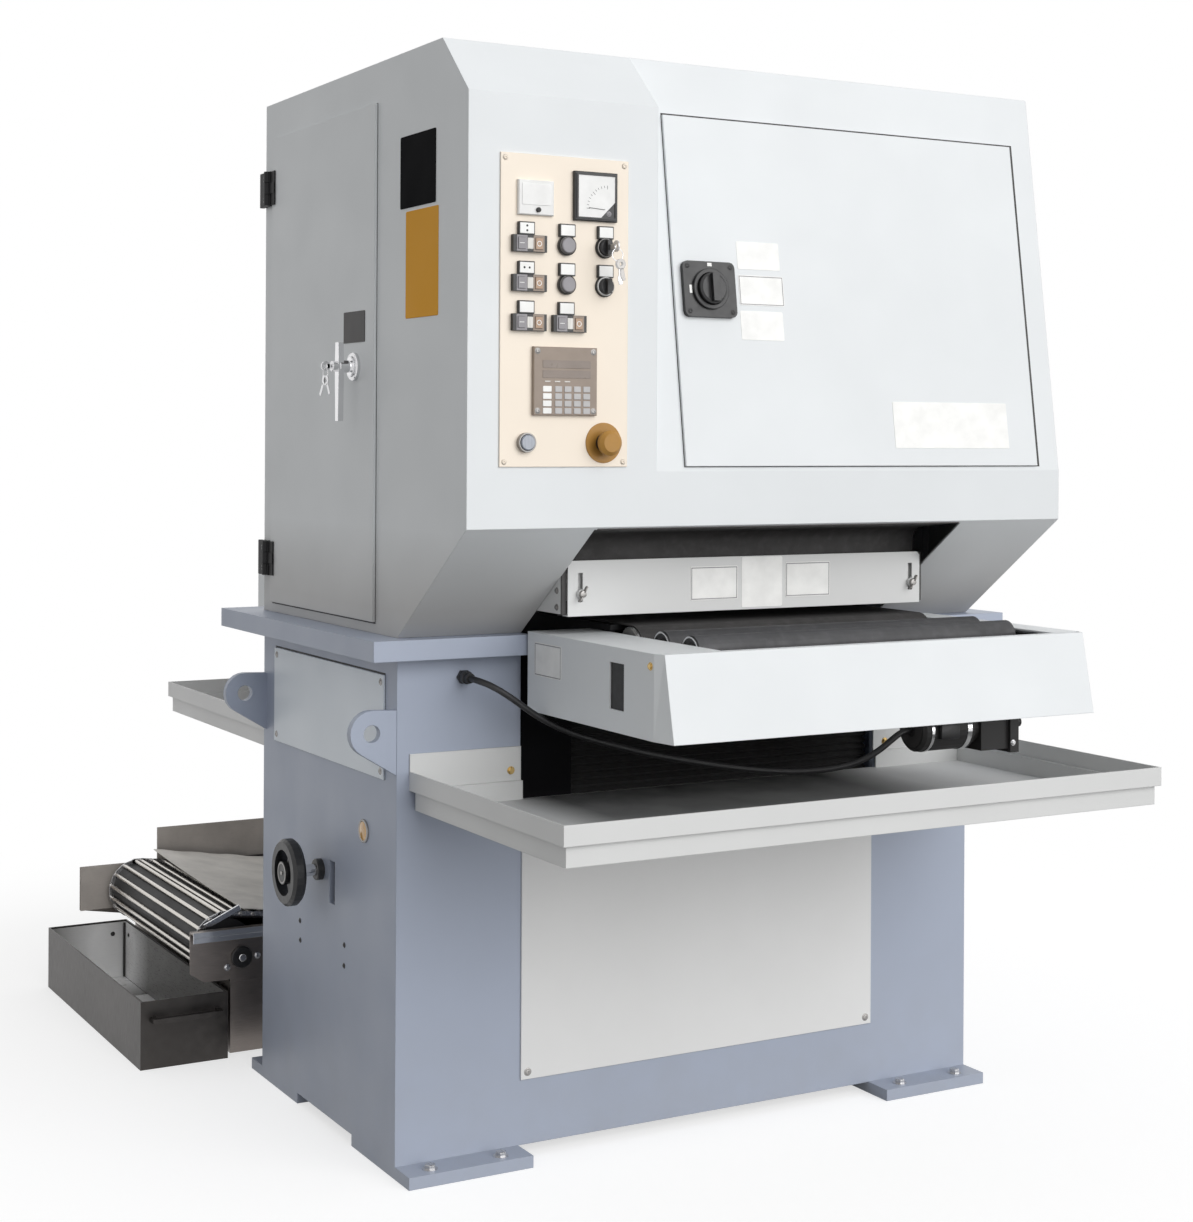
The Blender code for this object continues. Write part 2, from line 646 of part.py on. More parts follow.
def side_door():
    """The belt-change door at the left, hung on its rear edge, with its swing handle."""
    axis_at = (-0.011, LEFT_DOOR_Y[1] + 0.012, 0.0)
    hinge = empty("left_door_hinge", axis_at, ROOT)
    door = pan_door("left", LEFT_DOOR_Y, LEFT_DOOR_Z, DOOR_RIM)
    node("left_door", door, "hood_paint", hinge)
    face = -DOOR_T - FIT
    pivot = empty("left_handle_pivot", (face, HANDLE_Y, HANDLE_Z), hinge)
    handle = turned("X", (HANDLE_Y, HANDLE_Z), [(0.017, face), (0.017, face - 0.010), (0.011, face - 0.011),
                                               (0.011, face - 0.030)], SMALL_ROUND)
    grip_x = (face - 0.034, face - 0.024)
    arm = [(HANDLE_Y - 0.007, HANDLE_Z + HANDLE_RISE), (HANDLE_Y + 0.007, HANDLE_Z + HANDLE_RISE),
           (HANDLE_Y + 0.009, HANDLE_Z), (HANDLE_Y + 0.006, HANDLE_Z - HANDLE_DROP),
           (HANDLE_Y - 0.006, HANDLE_Z - HANDLE_DROP), (HANDLE_Y - 0.009, HANDLE_Z)]
    fuse(handle, prism("X", arm, grip_x))
    node("left_handle", handle, "chrome", pivot)


def drive_side_cover():
    """The bolted cover over the belt drive at the right."""
    lap = DOOR_LAP + 0.003
    cover = block((BASE_W + FIT, BASE_W + FIT + DOOR_T), LEFT_DOOR_Y, LEFT_DOOR_Z)
    lip_x = (BASE_W - DOOR_RIM, BASE_W + FIT + 0.001)
    lip = block(lip_x, shrink(LEFT_DOOR_Y, lap), shrink(LEFT_DOOR_Z, lap))
    inner = block(shrink(lip_x, -0.003), shrink(LEFT_DOOR_Y, lap + SHEET), shrink(LEFT_DOOR_Z, lap + SHEET))
    inner.data.transform(Matrix.Translation((-0.004, 0, 0)))
    fuse(cover, cut(lip, inner))
    node("drive_side_cover", cover, "hood_paint")


def front_door():
    """The door in the slope, hung at its right, with the main switch."""
    s0, s1 = (along_slope(z) for z in FRONT_DOOR_Z)
    axis_at = SLOPE_START + SLOPE_OUT * (DOOR_T + 0.002)
    axis_at.x = FRONT_DOOR_X[1] + 0.008
    hinge = empty("front_door_hinge", axis_at, ROOT)
    door = onto_slope(pan_door("slope", FRONT_DOOR_X, (s0, s1), DOOR_RIM))
    node("front_door", door, "hood_paint", hinge)
    width, height, depth = SWITCH_PLATE
    middle = along_slope(SWITCH_Z)
    foot = DOOR_T + FIT
    outline = round_corners((SWITCH_X - width / 2, SWITCH_X + width / 2),
                            (middle - height / 2, middle + height / 2), SWITCH_CORNER)
    plate = prism("Z", outline, (foot, foot + depth))
    node("switch_plate", onto_slope(plate), "black_plastic", hinge)
    base = foot + depth + FIT
    shoulder = base + SWITCH_KNOB_H * 0.5
    profile = [(SWITCH_KNOB_R, base), (SWITCH_KNOB_R, shoulder),
               (SWITCH_KNOB_R - 0.004, shoulder + 0.0025)]
    knob = turned("Z", (SWITCH_X, middle), profile, MEDIUM_ROUND)
    grip = block((SWITCH_X - 0.007, SWITCH_X + 0.007), (middle - 0.024, middle + 0.024),
                 (base + 0.002, base + SWITCH_KNOB_H))
    place = SLOPE_START + SLOPE_UP * middle + SLOPE_OUT * base + Vector((SWITCH_X, 0, 0))
    pivot = empty("switch_pivot", place, hinge)
    node("switch_knob", onto_slope(fuse(knob, grip)), "black_plastic", pivot)


def guard():
    """Bracket across the throat and the guard plate that is set on it by two wing bolts."""
    wing = 0.004
    left = (THROAT_X0 + FIT, THROAT_X0 + FIT + wing)
    right = (THROAT_X1 - FIT - wing, THROAT_X1 - FIT)
    back = GUARD_Y + 0.006
    plate_x = shrink((left[0], right[1]), SHEET / 2)
    bracket = block(plate_x, (back, back + SHEET), (GUARD_BOLT_Z - 0.012, GUARD_Z[1] - 0.014))
    slope = (LIP_Z - HOOD_Z0) / -HOOD_FRONT
    front = back - SHEET / 4
    outline = [(front, GUARD_Z[0] + 0.004), (front, HOOD_Z0 - back * slope + 0.020),
               (-0.020, HOOD_Z0 + 0.035), (-0.020, GUARD_Z[0] + 0.004)]
    for x in (left, right):
        fuse(bracket, prism("X", outline, x))
    for x in GUARD_BOLT_X:
        seat = GUARD_Y - SHEET - FIT
        profile = [(GUARD_BOLT_R, back + LAP), (GUARD_BOLT_R, seat),
                   (GUARD_BOLT_R * 2, seat - FIT), (GUARD_BOLT_R * 2, seat - GUARD_HEAD_T)]
        fuse(bracket, turned("Y", (x, GUARD_BOLT_Z), profile, TINY_ROUND))
    node("guard_bracket", bracket, "tray_paint")
    plate = block(GUARD_X, (GUARD_Y - SHEET, GUARD_Y), GUARD_Z)
    for x in GUARD_BOLT_X:
        slot_x = (x - GUARD_SLOT_W / 2, x + GUARD_SLOT_W / 2)
        cut(plate, block(slot_x, shrink((GUARD_Y - SHEET, GUARD_Y), -0.01), GUARD_SLOT_Z))
    fuse(plate, block(GUARD_X, (GUARD_Y - 0.001, GUARD_Y + 0.016), (GUARD_Z[0], GUARD_Z[0] + SHEET)))
    corner = [(GUARD_X[1] - 0.016, GUARD_Z[1] + 0.01), (GUARD_X[1] + 0.01, GUARD_Z[1] + 0.01),
              (GUARD_X[1] + 0.01, GUARD_Z[1] - 0.016)]
    cut(plate, prism("Y", corner, (GUARD_Y - 0.02, GUARD_Y + 0.03)))
    node("guard_plate", plate, "tray_paint", empty("guard_slide", (0, GUARD_Y, GUARD_Z[0]), ROOT))


# ---------------------------------------------------------------- control panel
def controls():
    """Every control as (name, kind, x, z, material)."""
    left, middle, right = COLUMN_X
    half = STATION_PITCH / 2
    items = []
    stations = [(left, z) for z in ROW_Z] + [(middle + 0.004, ROW_Z[2])]
    for number, (x, z) in enumerate(stations, 1):
        items.append((f"start_button_{number}", "flat", x - half, z, "grey_plastic"))
        items.append((f"stop_button_{number}", "flat", x + half, z, "red_plastic"))
    items.append(("jog_button_up", "round", middle, ROW_Z[0], "grey_plastic"))
    items.append(("jog_button_down", "round", middle, ROW_Z[1], "grey_plastic"))
    items.append(("reset_button", "round", left - 0.003, LOW_ROW_Z, "blue_lens"))
    items.append(("emergency_stop", "mushroom", right, LOW_ROW_Z, "amber_plastic"))
    items.append(("key_switch", "turn", right, ROW_Z[0], "black_plastic"))
    items.append(("selector_switch", "turn", right, ROW_Z[1], "black_plastic"))
    return items


def control_panel():
    """The plate, with a hole for every stem, and the instruments on it."""
    plate = block(PANEL_X, (PANEL_FACE, PANEL_FACE + PANEL_T), PANEL_Z)
    for _, _, x, z, _ in controls():
        cut(plate, rod("Y", (x, z), STEM_R + FIT, (PANEL_FACE - 0.01, PANEL_FACE + 0.02), TINY_ROUND))
    node("control_panel", plate, "cream_plate")
    half = AMMETER_SIZE / 2
    x, z = AMMETER_AT
    meter = lofted_face((x - half, x + half), (z - half, z + half), 0.007, 0.0015)
    node("ammeter", meter, "black_plastic")
    width, height = LOAD_METER_SIZE
    x, z = LOAD_METER_AT
    meter = lofted_face((x - width / 2, x + width / 2), (z - height / 2, z + height / 2), 0.006, 0.0015)
    node("load_meter", meter, "white_plastic")
    node("keypad", lofted_face(KEYPAD_X, KEYPAD_Z, 0.007, 0.001), "grey_plastic")


def lofted_face(x, z, depth, bevel):
    """A raised instrument on the panel with bevelled front edges."""
    back = PANEL_FACE - FIT
    rings = [(x, z, back), (x, z, back - depth + bevel), (shrink(x, bevel), shrink(z, bevel), back - depth)]
    shape = lofted(rings)
    turn = Matrix(((1, 0, 0), (0, 0, 1), (0, 1, 0))).to_4x4()
    shape.data.transform(turn)
    shape.data.flip_normals()
    return shape


def buttons():
    """Caps with stems that run in the plate's holes."""
    back = PANEL_FACE - BUTTON_TRAVEL - FIT * 2
    for name, kind, x, z, material in controls():
        base = back
        if kind == "flat":
            cap = block((x - BUTTON_W / 2, x + BUTTON_W / 2), (back - BUTTON_DEPTH, back),
                        (z - BUTTON_H / 2, z + BUTTON_H / 2))
        elif kind == "round":
            cap = turned("Y", (x, z), [(ROUND_BUTTON_R, back), (ROUND_BUTTON_R, back - BUTTON_DEPTH),
                                       (ROUND_BUTTON_R * 0.88, back - BUTTON_DEPTH - 0.0015)])
        elif kind == "mushroom":
            cap = turned("Y", (x, z), [(0.011, back), (0.011, back - 0.012), (STOP_R, back - 0.015),
                                       (STOP_R, back - 0.021), (STOP_R * 0.72, back - 0.027)])
        else:
            base = PANEL_FACE - FIT
            profile = [(KNOB_R, base), (KNOB_R, base - 0.010), (KNOB_R * 0.85, base - 0.012)]
            cap = turned("Y", (x, z), profile, MEDIUM_ROUND)
            fuse(cap, block((x - 0.004, x + 0.004), (base - 0.020, base - 0.002), (z - 0.012, z + 0.012)))
        fuse(cap, rod("Y", (x, z), STEM_R, (base - 0.002, base + STEM_L), TINY_ROUND))
        node(name, cap, material, empty(name + "_guide", (x, base, z), ROOT))


# ---------------------------------------------------------------- feed table
def table_pivot():
    """The table's own empty: everything on the table moves with it."""
    return empty("feed_table", (TABLE_LEFT_X, 0.0, BELT_TOP), ROOT)


def table_frame(table):
    """Side plates, bed and cross members with the lift nuts."""
    plate_z = (TABLE_BOTTOM, BED_Z[0] + 0.001)
    left = (TABLE_LEFT_X, TABLE_LEFT_X + TABLE_PLATE_T)
    right = (TABLE_RIGHT_X, TABLE_RIGHT_X + TABLE_PLATE_T)
    wide = (TABLE_WIDE_X, TABLE_WIDE_X + TABLE_PLATE_T)
    front_top = INFEED_Z + 0.008
    bed_y = shrink((FEED_DRIVE_Y + FEED_ROLLER_R, FEED_TAIL_Y - FEED_ROLLER_R), 0.012)
    frame = block((left[0], right[1]), bed_y, BED_Z)
    fuse(frame, block(left, (TABLE_NECK_Y - 0.01, TABLE_Y[1]), plate_z))
    fuse(frame, block(left, (TABLE_Y[0], TABLE_NECK_Y), (TABLE_BOTTOM, front_top)))
    fuse(frame, block(right, (TABLE_NECK_Y - 0.012, TABLE_Y[1]), plate_z))
    fuse(frame, block(wide, (TABLE_Y[0], TABLE_NECK_Y), (TABLE_BOTTOM, front_top)))
    shoulder_y = (TABLE_NECK_Y - 0.012, TABLE_NECK_Y)
    fuse(frame, block((right[0], wide[1]), shoulder_y, (TABLE_BOTTOM, front_top)))
    for y in SCREW_Y:
        member_y = (y - LIFT_BEAM_W / 2, y + LIFT_BEAM_W / 2)
        member = block((left[0] + 0.002, right[1] - 0.002), member_y, CROSS_Z)
        for x in SCREW_X:
            fuse(member, rod("Z", (x, y), NUT_R, (NUT_BOTTOM, CROSS_Z[0] + 0.002)))
            cut(member, rod("Z", (x, y), SCREW_R + FIT, (NUT_BOTTOM - 0.01, CROSS_Z[1] + 0.01)))
        fuse(frame, member)
    tie_z = (TABLE_BOTTOM, TABLE_BOTTOM + 0.020)
    fuse(frame, block((left[0] + 0.002, wide[1] - 0.002), (-0.250, -0.230), tie_z))
    rollers = [(y, FEED_ROLLER_Z) for y in (FEED_DRIVE_Y, FEED_TAIL_Y)] + [(y, INFEED_Z) for y in INFEED_Y]
    for centre in rollers:
        cut(frame, rod("X", centre, ROLLER_SHAFT_R + FIT, (left[0] - 0.01, wide[1] + 0.01)))
    node("table_frame", frame, "base_paint", table)


def roller(name, table, y, z, radius, body_x, shaft_x, material):
    """A roller with its shaft, turning about X."""
    shaft = [(ROLLER_SHAFT_R, shaft_x[0]), (ROLLER_SHAFT_R, body_x[0]), (radius, body_x[0] + 0.0005),
             (radius, body_x[1] - 0.0005), (ROLLER_SHAFT_R, body_x[1]), (ROLLER_SHAFT_R, shaft_x[1])]
    shape = turned("X", (y, z), shaft, MEDIUM_ROUND)
    node(name, shape, material, empty(name + "_axis", (body_x[0], y, z), table), smooth=True)


def feed_rollers(table):
    """Drive roller in front, tail roller behind, and two infeed rollers."""
    inner = (BELT_X[0] - 0.004, BELT_X[1] + 0.002)
    wide = (TABLE_LEFT_X - 0.004, TABLE_WIDE_X + TABLE_PLATE_T + 0.004)
    narrow = (TABLE_LEFT_X - 0.004, TABLE_RIGHT_X + TABLE_PLATE_T + 0.002)
    roller("drive_roller", table, FEED_DRIVE_Y, FEED_ROLLER_Z, FEED_ROLLER_R, inner, wide, "steel")
    roller("tail_roller", table, FEED_TAIL_Y, FEED_ROLLER_Z, FEED_ROLLER_R, inner, narrow, "steel")
    for name, y in zip(("infeed_roller_front", "infeed_roller_rear"), INFEED_Y):
        roller(name, table, y, INFEED_Z, INFEED_R, INFEED_X, wide, "roller_rubber")


def feed_belt(table):
    """The endless feed belt."""
    ends = [((y, FEED_ROLLER_Z), FEED_ROLLER_R + FIT) for y in (FEED_DRIVE_Y, FEED_TAIL_Y)]
    band = belt_loop("X", ends, BELT_T, BELT_X, 12)
    node("conveyor_belt", band, "belt_rubber", table, smooth=True)


def front_skirt(table):
    """The white box round the table's front: sides, leaning fascia and the two lids."""
    z = SKIRT_Z
    lid_z = (z[1] - SHEET, z[1])
    corner = 0.008
    left = (SKIRT_X[0], SKIRT_X[0] + SHEET)
    right = (SKIRT_X[1] - SHEET, SKIRT_X[1])
    skirt = block(left, (SKIRT_SIDE_FRONT, SKIRT_BACK), z)
    fuse(skirt, fascia(corner), block(right, (SKIRT_SIDE_FRONT, SKIRT_BACK), z))
    inner_left = TABLE_LEFT_X - FIT
    inner_right = TABLE_WIDE_X + TABLE_PLATE_T + FIT
    fuse(skirt, block((SKIRT_X[0] + 0.001, inner_left), (SKIRT_SIDE_FRONT, SKIRT_BACK), lid_z))
    fuse(skirt, block((inner_right, SKIRT_X[1] - 0.001), (SKIRT_SIDE_FRONT, SKIRT_BACK), lid_z))
    window = (SKIRT_SIDE_FRONT + 0.092, SKIRT_SIDE_FRONT + 0.138)
    cut(skirt, block(shrink(left, -0.01), window, (z[0] + 0.036, z[1] - 0.025)))
    node("front_skirt", skirt, "hood_paint", table)


def fascia(corner):
    """The leaning front sheet with its two end returns."""
    z0, z1 = SKIRT_Z
    rings = []
    for y, z in ((FASCIA_LOW_Y, z0), (FASCIA_TOP_Y, z1)):
        left, right = SKIRT_X
        back = SKIRT_SIDE_FRONT + 2 * LAP
        outer = [(left, back), (left, SKIRT_SIDE_FRONT), (left + corner, y),
                 (right - corner, y), (right, SKIRT_SIDE_FRONT), (right, back)]
        bend = SKIRT_SIDE_FRONT + LAP
        inner = [(right - SHEET, back), (right - SHEET, bend), (right - corner - SHEET, y + SHEET),
                 (left + corner + SHEET, y + SHEET), (left + SHEET, bend), (left + SHEET, back)]
        rings.append([(u, v, z) for u, v in outer + inner])
    bm = bmesh.new()
    low, high = ([bm.verts.new(point) for point in ring] for ring in rings)
    bm.faces.new(low)
    bm.faces.new(high)
    bridge(bm, low, high)
    sheet = solid(bm)
    rim_back = SKIRT_SIDE_FRONT + LAP
    rim_y = (FASCIA_TOP_Y + LAP, rim_back)
    rim = block(shrink(SKIRT_X, corner + SHEET), rim_y, (z1 - SHEET, z1 - 0.0005))
    return fuse(sheet, rim)


def rear_skirt(table):
    """The box round the table's outfeed end."""
    left = (SKIRT_X[0], SKIRT_X[0] + SHEET)
    right = (SKIRT_X[1] - SHEET, SKIRT_X[1])
    z = (TABLE_BOTTOM + SHEET, REAR_SKIRT_TOP)
    low = REAR_SKIRT_TOP - 0.020
    skirt = block(left, REAR_SKIRT_Y, z)
    end_y = (REAR_SKIRT_Y[1] - SHEET, REAR_SKIRT_Y[1])
    fuse(skirt, block(shrink(SKIRT_X, 0.001), end_y, (z[0], BELT_TOP - 0.006)))
    fuse(skirt, block(right, REAR_SKIRT_Y, z))
    lid_z = (low - SHEET, low)
    fuse(skirt, block((left[0] + 0.001, TABLE_LEFT_X - FIT), REAR_SKIRT_Y, lid_z))
    inner_right = TABLE_RIGHT_X + TABLE_PLATE_T + FIT
    fuse(skirt, block((inner_right, right[1] - 0.001), REAR_SKIRT_Y, lid_z))
    node("rear_skirt", skirt, "hood_paint", table)


def gear_motor(table):
    """The feed drive under the table's front right, on its bracket."""
    body = turned("X", (GEAR_MOTOR_Y, GEAR_MOTOR_Z),
                  [(GEAR_MOTOR_R * 0.86, GEAR_MOTOR_X[0]), (GEAR_MOTOR_R, GEAR_MOTOR_X[0] + 0.006),
                   (GEAR_MOTOR_R, GEAR_MOTOR_X[0] + 0.110), (GEAR_MOTOR_R * 0.8, GEAR_MOTOR_X[0] + 0.112),
                   (GEAR_MOTOR_R * 0.8, GEAR_MOTOR_X[1])], MEDIUM_ROUND)
    box_y = (GEAR_MOTOR_Y - 0.036, GEAR_MOTOR_Y + 0.036)
    box_z = (GEAR_MOTOR_Z - 0.040, GEAR_MOTOR_Z + 0.036)
    gearbox = block((GEAR_MOTOR_X[0] + 0.125, GEAR_MOTOR_X[1]), box_y, box_z)
    bracket_x = (GEAR_MOTOR_X[1] - 0.002, TABLE_WIDE_X - FIT)
    bracket_y = (GEAR_MOTOR_Y - 0.043, GEAR_MOTOR_Y + 0.043)
    bracket = block(bracket_x, bracket_y, (GEAR_MOTOR_Z - 0.046, TABLE_BOTTOM + 0.035))
    shaft = rod("X", (GEAR_MOTOR_Y, GEAR_MOTOR_Z), 0.009, (bracket_x[1] - 0.002, bracket_x[1] + 0.036))
    node("gear_motor", fuse(body, gearbox, bracket, shaft), "steel", table)


# ---------------------------------------------------------------- lift
def lift_screws():
    """Four lift screws that stand on the base's beams and run in the table's nuts."""
    seat = LIFT_BEAM_Z[1] + FIT
    corners = [(x, y) for y in SCREW_Y for x in SCREW_X]
    for number, (x, y) in enumerate(corners, 1):
        collar_top = seat + 0.018
        profile = [(SCREW_R, LIFT_BEAM_Z[0] - 0.025), (SCREW_R, seat), (SCREW_COLLAR_R, seat + FIT),
                   (SCREW_COLLAR_R, collar_top), (SCREW_R, collar_top + LAP), (SCREW_R, SCREW_TOP)]
        screw = turned("Z", (x, y), profile)
        name = f"lift_screw_{number}"
        node(name, screw, "steel", empty(name + "_axis", (x, y, seat), ROOT), smooth=True)


def handwheel():
    """The lift handwheel with its shaft through the base's left wall."""
    pivot = empty("handwheel_axis", (0.0, WHEEL_Y, WHEEL_Z), ROOT)
    rim = [(WHEEL_R - 0.018, -0.0125), (WHEEL_R - 0.005, -0.0125), (WHEEL_R, -0.007), (WHEEL_R, 0.007),
           (WHEEL_R - 0.005, 0.0125), (WHEEL_R - 0.018, 0.0125)]
    wheel = turned("X", (WHEEL_Y, WHEEL_Z), [(r, WHEEL_X + a) for r, a in rim])
    cut(wheel, rod("X", (WHEEL_Y, WHEEL_Z), WHEEL_R - 0.019, (WHEEL_X - 0.02, WHEEL_X + 0.02), ROUND))
    spokes = 3
    hub = Matrix.Translation((0, WHEEL_Y, WHEEL_Z))
    for i in range(spokes):
        spoke = block((WHEEL_X - 0.005, WHEEL_X + 0.005), (0.0, WHEEL_R - 0.010), (-0.008, 0.008))
        spoke.data.transform(hub @ Matrix.Rotation(2 * math.pi * i / spokes, 4, "X"))
        fuse(wheel, spoke)
    profile = [(0.021, WHEEL_X - 0.014), (0.021, WHEEL_X + 0.024),
               (WHEEL_SHAFT_R, WHEEL_X + 0.025), (WHEEL_SHAFT_R, WHEEL_SHAFT_IN)]
    shaft = turned("X", (WHEEL_Y, WHEEL_Z), profile, SMALL_ROUND)
    node("handwheel", fuse(wheel, shaft), "black_plastic", pivot)


# ---------------------------------------------------------------- sanding head
def sanding_frame():
    """Uprights on the base's flanges, the beam inside the belt, and the motor shelf."""
    z = (HOOD_Z0, UPRIGHT_TOP)
    frame = block(UPRIGHT_LEFT_X, UPRIGHT_Y, z)
    fuse(frame, block((UPRIGHT_LEFT_X[1] - LAP, UPRIGHT_RIGHT_X[0] + LAP), HEAD_BEAM_Y, HEAD_BEAM_Z))
    fuse(frame, block(UPRIGHT_RIGHT_X, UPRIGHT_Y, z))
    for x in (UPRIGHT_LEFT_X, UPRIGHT_RIGHT_X):
        cut(frame, rod("X", (HEAD_Y, DRUM_Z), DRUM_SHAFT_R + FIT, shrink(x, -0.01), MEDIUM_ROUND))
    sleeve_x = (DRUM_X[0] + DRUM_X[1]) / 2
    sleeve_top = YOKE_BAR_Z[0] - 0.030
    sleeve = (sleeve_x, HEAD_Y)
    fuse(frame, rod("Z", sleeve, YOKE_SLEEVE_R, (HEAD_BEAM_Z[0] + 0.01, sleeve_top), MEDIUM_ROUND))
    cut(frame, rod("Z", sleeve, YOKE_ROD_R + FIT, (HEAD_BEAM_Z[0] - 0.01, sleeve_top + 0.01), MEDIUM_ROUND))
    shelf_top = MOTOR_Z - MOTOR_R - 0.010 - FIT
    shelf = block((MOTOR_X[0] - 0.03, UPRIGHT_RIGHT_X[1] - 0.001), (UPRIGHT_Y[1] - 0.02, HOOD_D - 0.03),
                  (shelf_top - 0.012, shelf_top))
    node("sanding_frame", fuse(frame, shelf), "base_paint")


def drum():
    """Contact drum with its shaft and pulley."""
    shaft_end = UPRIGHT_LEFT_X[0] - 0.006
    groove = 0.006
    middle = (PULLEY_X[0] + PULLEY_X[1]) / 2
    profile = [(DRUM_SHAFT_R, shaft_end), (DRUM_SHAFT_R, DRUM_X[0]), (DRUM_R, DRUM_X[0] + 0.0005),
               (DRUM_R, DRUM_X[1] - 0.0005), (DRUM_SHAFT_R, DRUM_X[1]), (DRUM_SHAFT_R, PULLEY_X[0]),
               (DRUM_PULLEY_R + groove, PULLEY_X[0] + 0.0005), (DRUM_PULLEY_R, middle - 0.012),
               (DRUM_PULLEY_R, middle + 0.012), (DRUM_PULLEY_R + groove, PULLEY_X[1])]
    shape = turned("X", (HEAD_Y, DRUM_Z), profile)
    pivot = empty("contact_drum_axis", (DRUM_X[0], HEAD_Y, DRUM_Z), ROOT)
    node("contact_drum", shape, "belt_rubber", pivot, smooth=True)


def tension_unit():
    """The yoke that the air cylinder lifts, and the tension roller that it carries."""
    middle = (DRUM_X[0] + DRUM_X[1]) / 2
    slide = empty("tension_slide", (middle, HEAD_Y, YOKE_BAR_Z[0]), ROOT)
    ear_left = (DRUM_X[0] - 0.014, DRUM_X[0] - 0.004)
    ear_right = (DRUM_X[1] + 0.004, DRUM_X[1] + 0.014)
    ear_y = (HEAD_Y - 0.018, HEAD_Y + 0.018)
    yoke = block((ear_left[0], ear_right[1]), ear_y, YOKE_BAR_Z)
    for x in (ear_left, ear_right):
        fuse(yoke, block(x, shrink(ear_y, 0.0005), (YOKE_BAR_Z[0] + 0.001, YOKE_REACH)))
        cut(yoke, rod("X", (HEAD_Y, TENSION_Z), ROLLER_SHAFT_R + FIT, shrink(x, -0.005)))
    stem_z = (HEAD_BEAM_Z[1] + 0.020, YOKE_BAR_Z[0] + 0.002)
    fuse(yoke, rod("Z", (middle, HEAD_Y), YOKE_ROD_R, stem_z, MEDIUM_ROUND))
    node("tension_yoke", yoke, "steel", slide)
    roller("tension_roller", slide, HEAD_Y, TENSION_Z, TENSION_R, DRUM_X,
           (ear_left[0] - 0.003, ear_right[1] + 0.003), "steel")


def abrasive_belt():
    """The endless abrasive belt round the drum and the tension roller."""
    ends = [((HEAD_Y, DRUM_Z), DRUM_R + FIT), ((HEAD_Y, TENSION_Z), TENSION_R + FIT)]
    band = belt_loop("X", ends, ABRASIVE_T, shrink(DRUM_X, 0.003), 20)
    node("abrasive_belt", band, "abrasive_cloth", smooth=True)


def main_motor():
    """The main motor on its shelf, its pulley and the V-belt to the drum."""
    nose = MOTOR_X[1] + 0.006
    profile = [(MOTOR_R * 0.85, MOTOR_X[0]), (MOTOR_R, MOTOR_X[0] + 0.012), (MOTOR_R, MOTOR_X[1] - 0.010),
               (MOTOR_R * 0.7, MOTOR_X[1]), (MOTOR_R * 0.3, nose)]
    body = turned("X", (MOTOR_Y, MOTOR_Z), profile, MEDIUM_ROUND)
    foot = block(shrink(MOTOR_X, 0.060), (MOTOR_Y - 0.075, MOTOR_Y + 0.075),
                 (MOTOR_Z - MOTOR_R - 0.010, MOTOR_Z - MOTOR_R * 0.6))
    cut(body, rod("X", (MOTOR_Y, MOTOR_Z), MOTOR_SHAFT_R + FIT, (MOTOR_X[1] - 0.05, nose + 0.01)))
    node("main_motor", fuse(body, foot), "base_paint")
    groove = 0.006
    middle = (PULLEY_X[0] + PULLEY_X[1]) / 2
    profile = [(MOTOR_SHAFT_R, MOTOR_X[1] - 0.048), (MOTOR_SHAFT_R, PULLEY_X[0]),
               (MOTOR_PULLEY_R + groove, PULLEY_X[0] + 0.0005),
               (MOTOR_PULLEY_R, middle - 0.012), (MOTOR_PULLEY_R, middle + 0.012),
               (MOTOR_PULLEY_R + groove, PULLEY_X[1])]
    pulley = turned("X", (MOTOR_Y, MOTOR_Z), profile, SMALL_ROUND)
    pivot = empty("motor_pulley_axis", (MOTOR_X[1], MOTOR_Y, MOTOR_Z), ROOT)
    node("motor_pulley", pulley, "steel", pivot, smooth=True)
    ends = [((MOTOR_Y, MOTOR_Z), MOTOR_PULLEY_R + FIT), ((HEAD_Y, DRUM_Z), DRUM_PULLEY_R + FIT)]
    belt = belt_loop("X", ends, V_BELT_T, (middle - 0.010, middle + 0.010), 12)
    node("v_belt", belt, "belt_rubber", smooth=True)


# ---------------------------------------------------------------- cable
def cable_gland():
    """The gland in the base's front."""
    profile = [(GLAND_R, -FIT), (GLAND_R, -0.012), (GLAND_R * 0.86, -0.013), (GLAND_R * 0.80, -GLAND_L)]
    node("cable_gland", turned("Y", (GLAND_X, GLAND_Z), profile, TINY_ROUND), "black_plastic")


# the cable's route from the gland until it is under the table, as
# (X past the gland, Y, height above the gland)
CABLE_DROP = [
    (0.000, -0.0303, 0.0000), (0.000, -0.0450, -0.0005), (0.004, -0.0600, -0.0025),
    (0.013, -0.0735, -0.0070), (0.026, -0.0845, -0.0152), (0.043, -0.0930, -0.0270),
    (0.063, -0.0990, -0.0420), (0.087, -0.1045, -0.0590), (0.115, -0.1110, -0.0755),
    (0.148, -0.1200, -0.0910), (0.187, -0.1320, -0.1045),
]
# and from there on, as (share of the way to the motor, Y, height above the gland)
CABLE_SAG = [
    (0.089, -0.1485, -0.1180), (0.188, -0.1690, -0.1310), (0.297, -0.1940, -0.1420),
    (0.406, -0.2210, -0.1515), (0.515, -0.2480, -0.1580), (0.620, -0.2740, -0.1605),
    (0.712, -0.2970, -0.1575), (0.788, -0.3155, -0.1495), (0.844, -0.3290, -0.1375),
    (0.887, -0.3385, -0.1230), (0.920, -0.3450, -0.1090), (0.948, -0.3485, -0.0985),
    (0.974, -0.3500, -0.0935), (1.000, -0.3500, -0.0920),
]


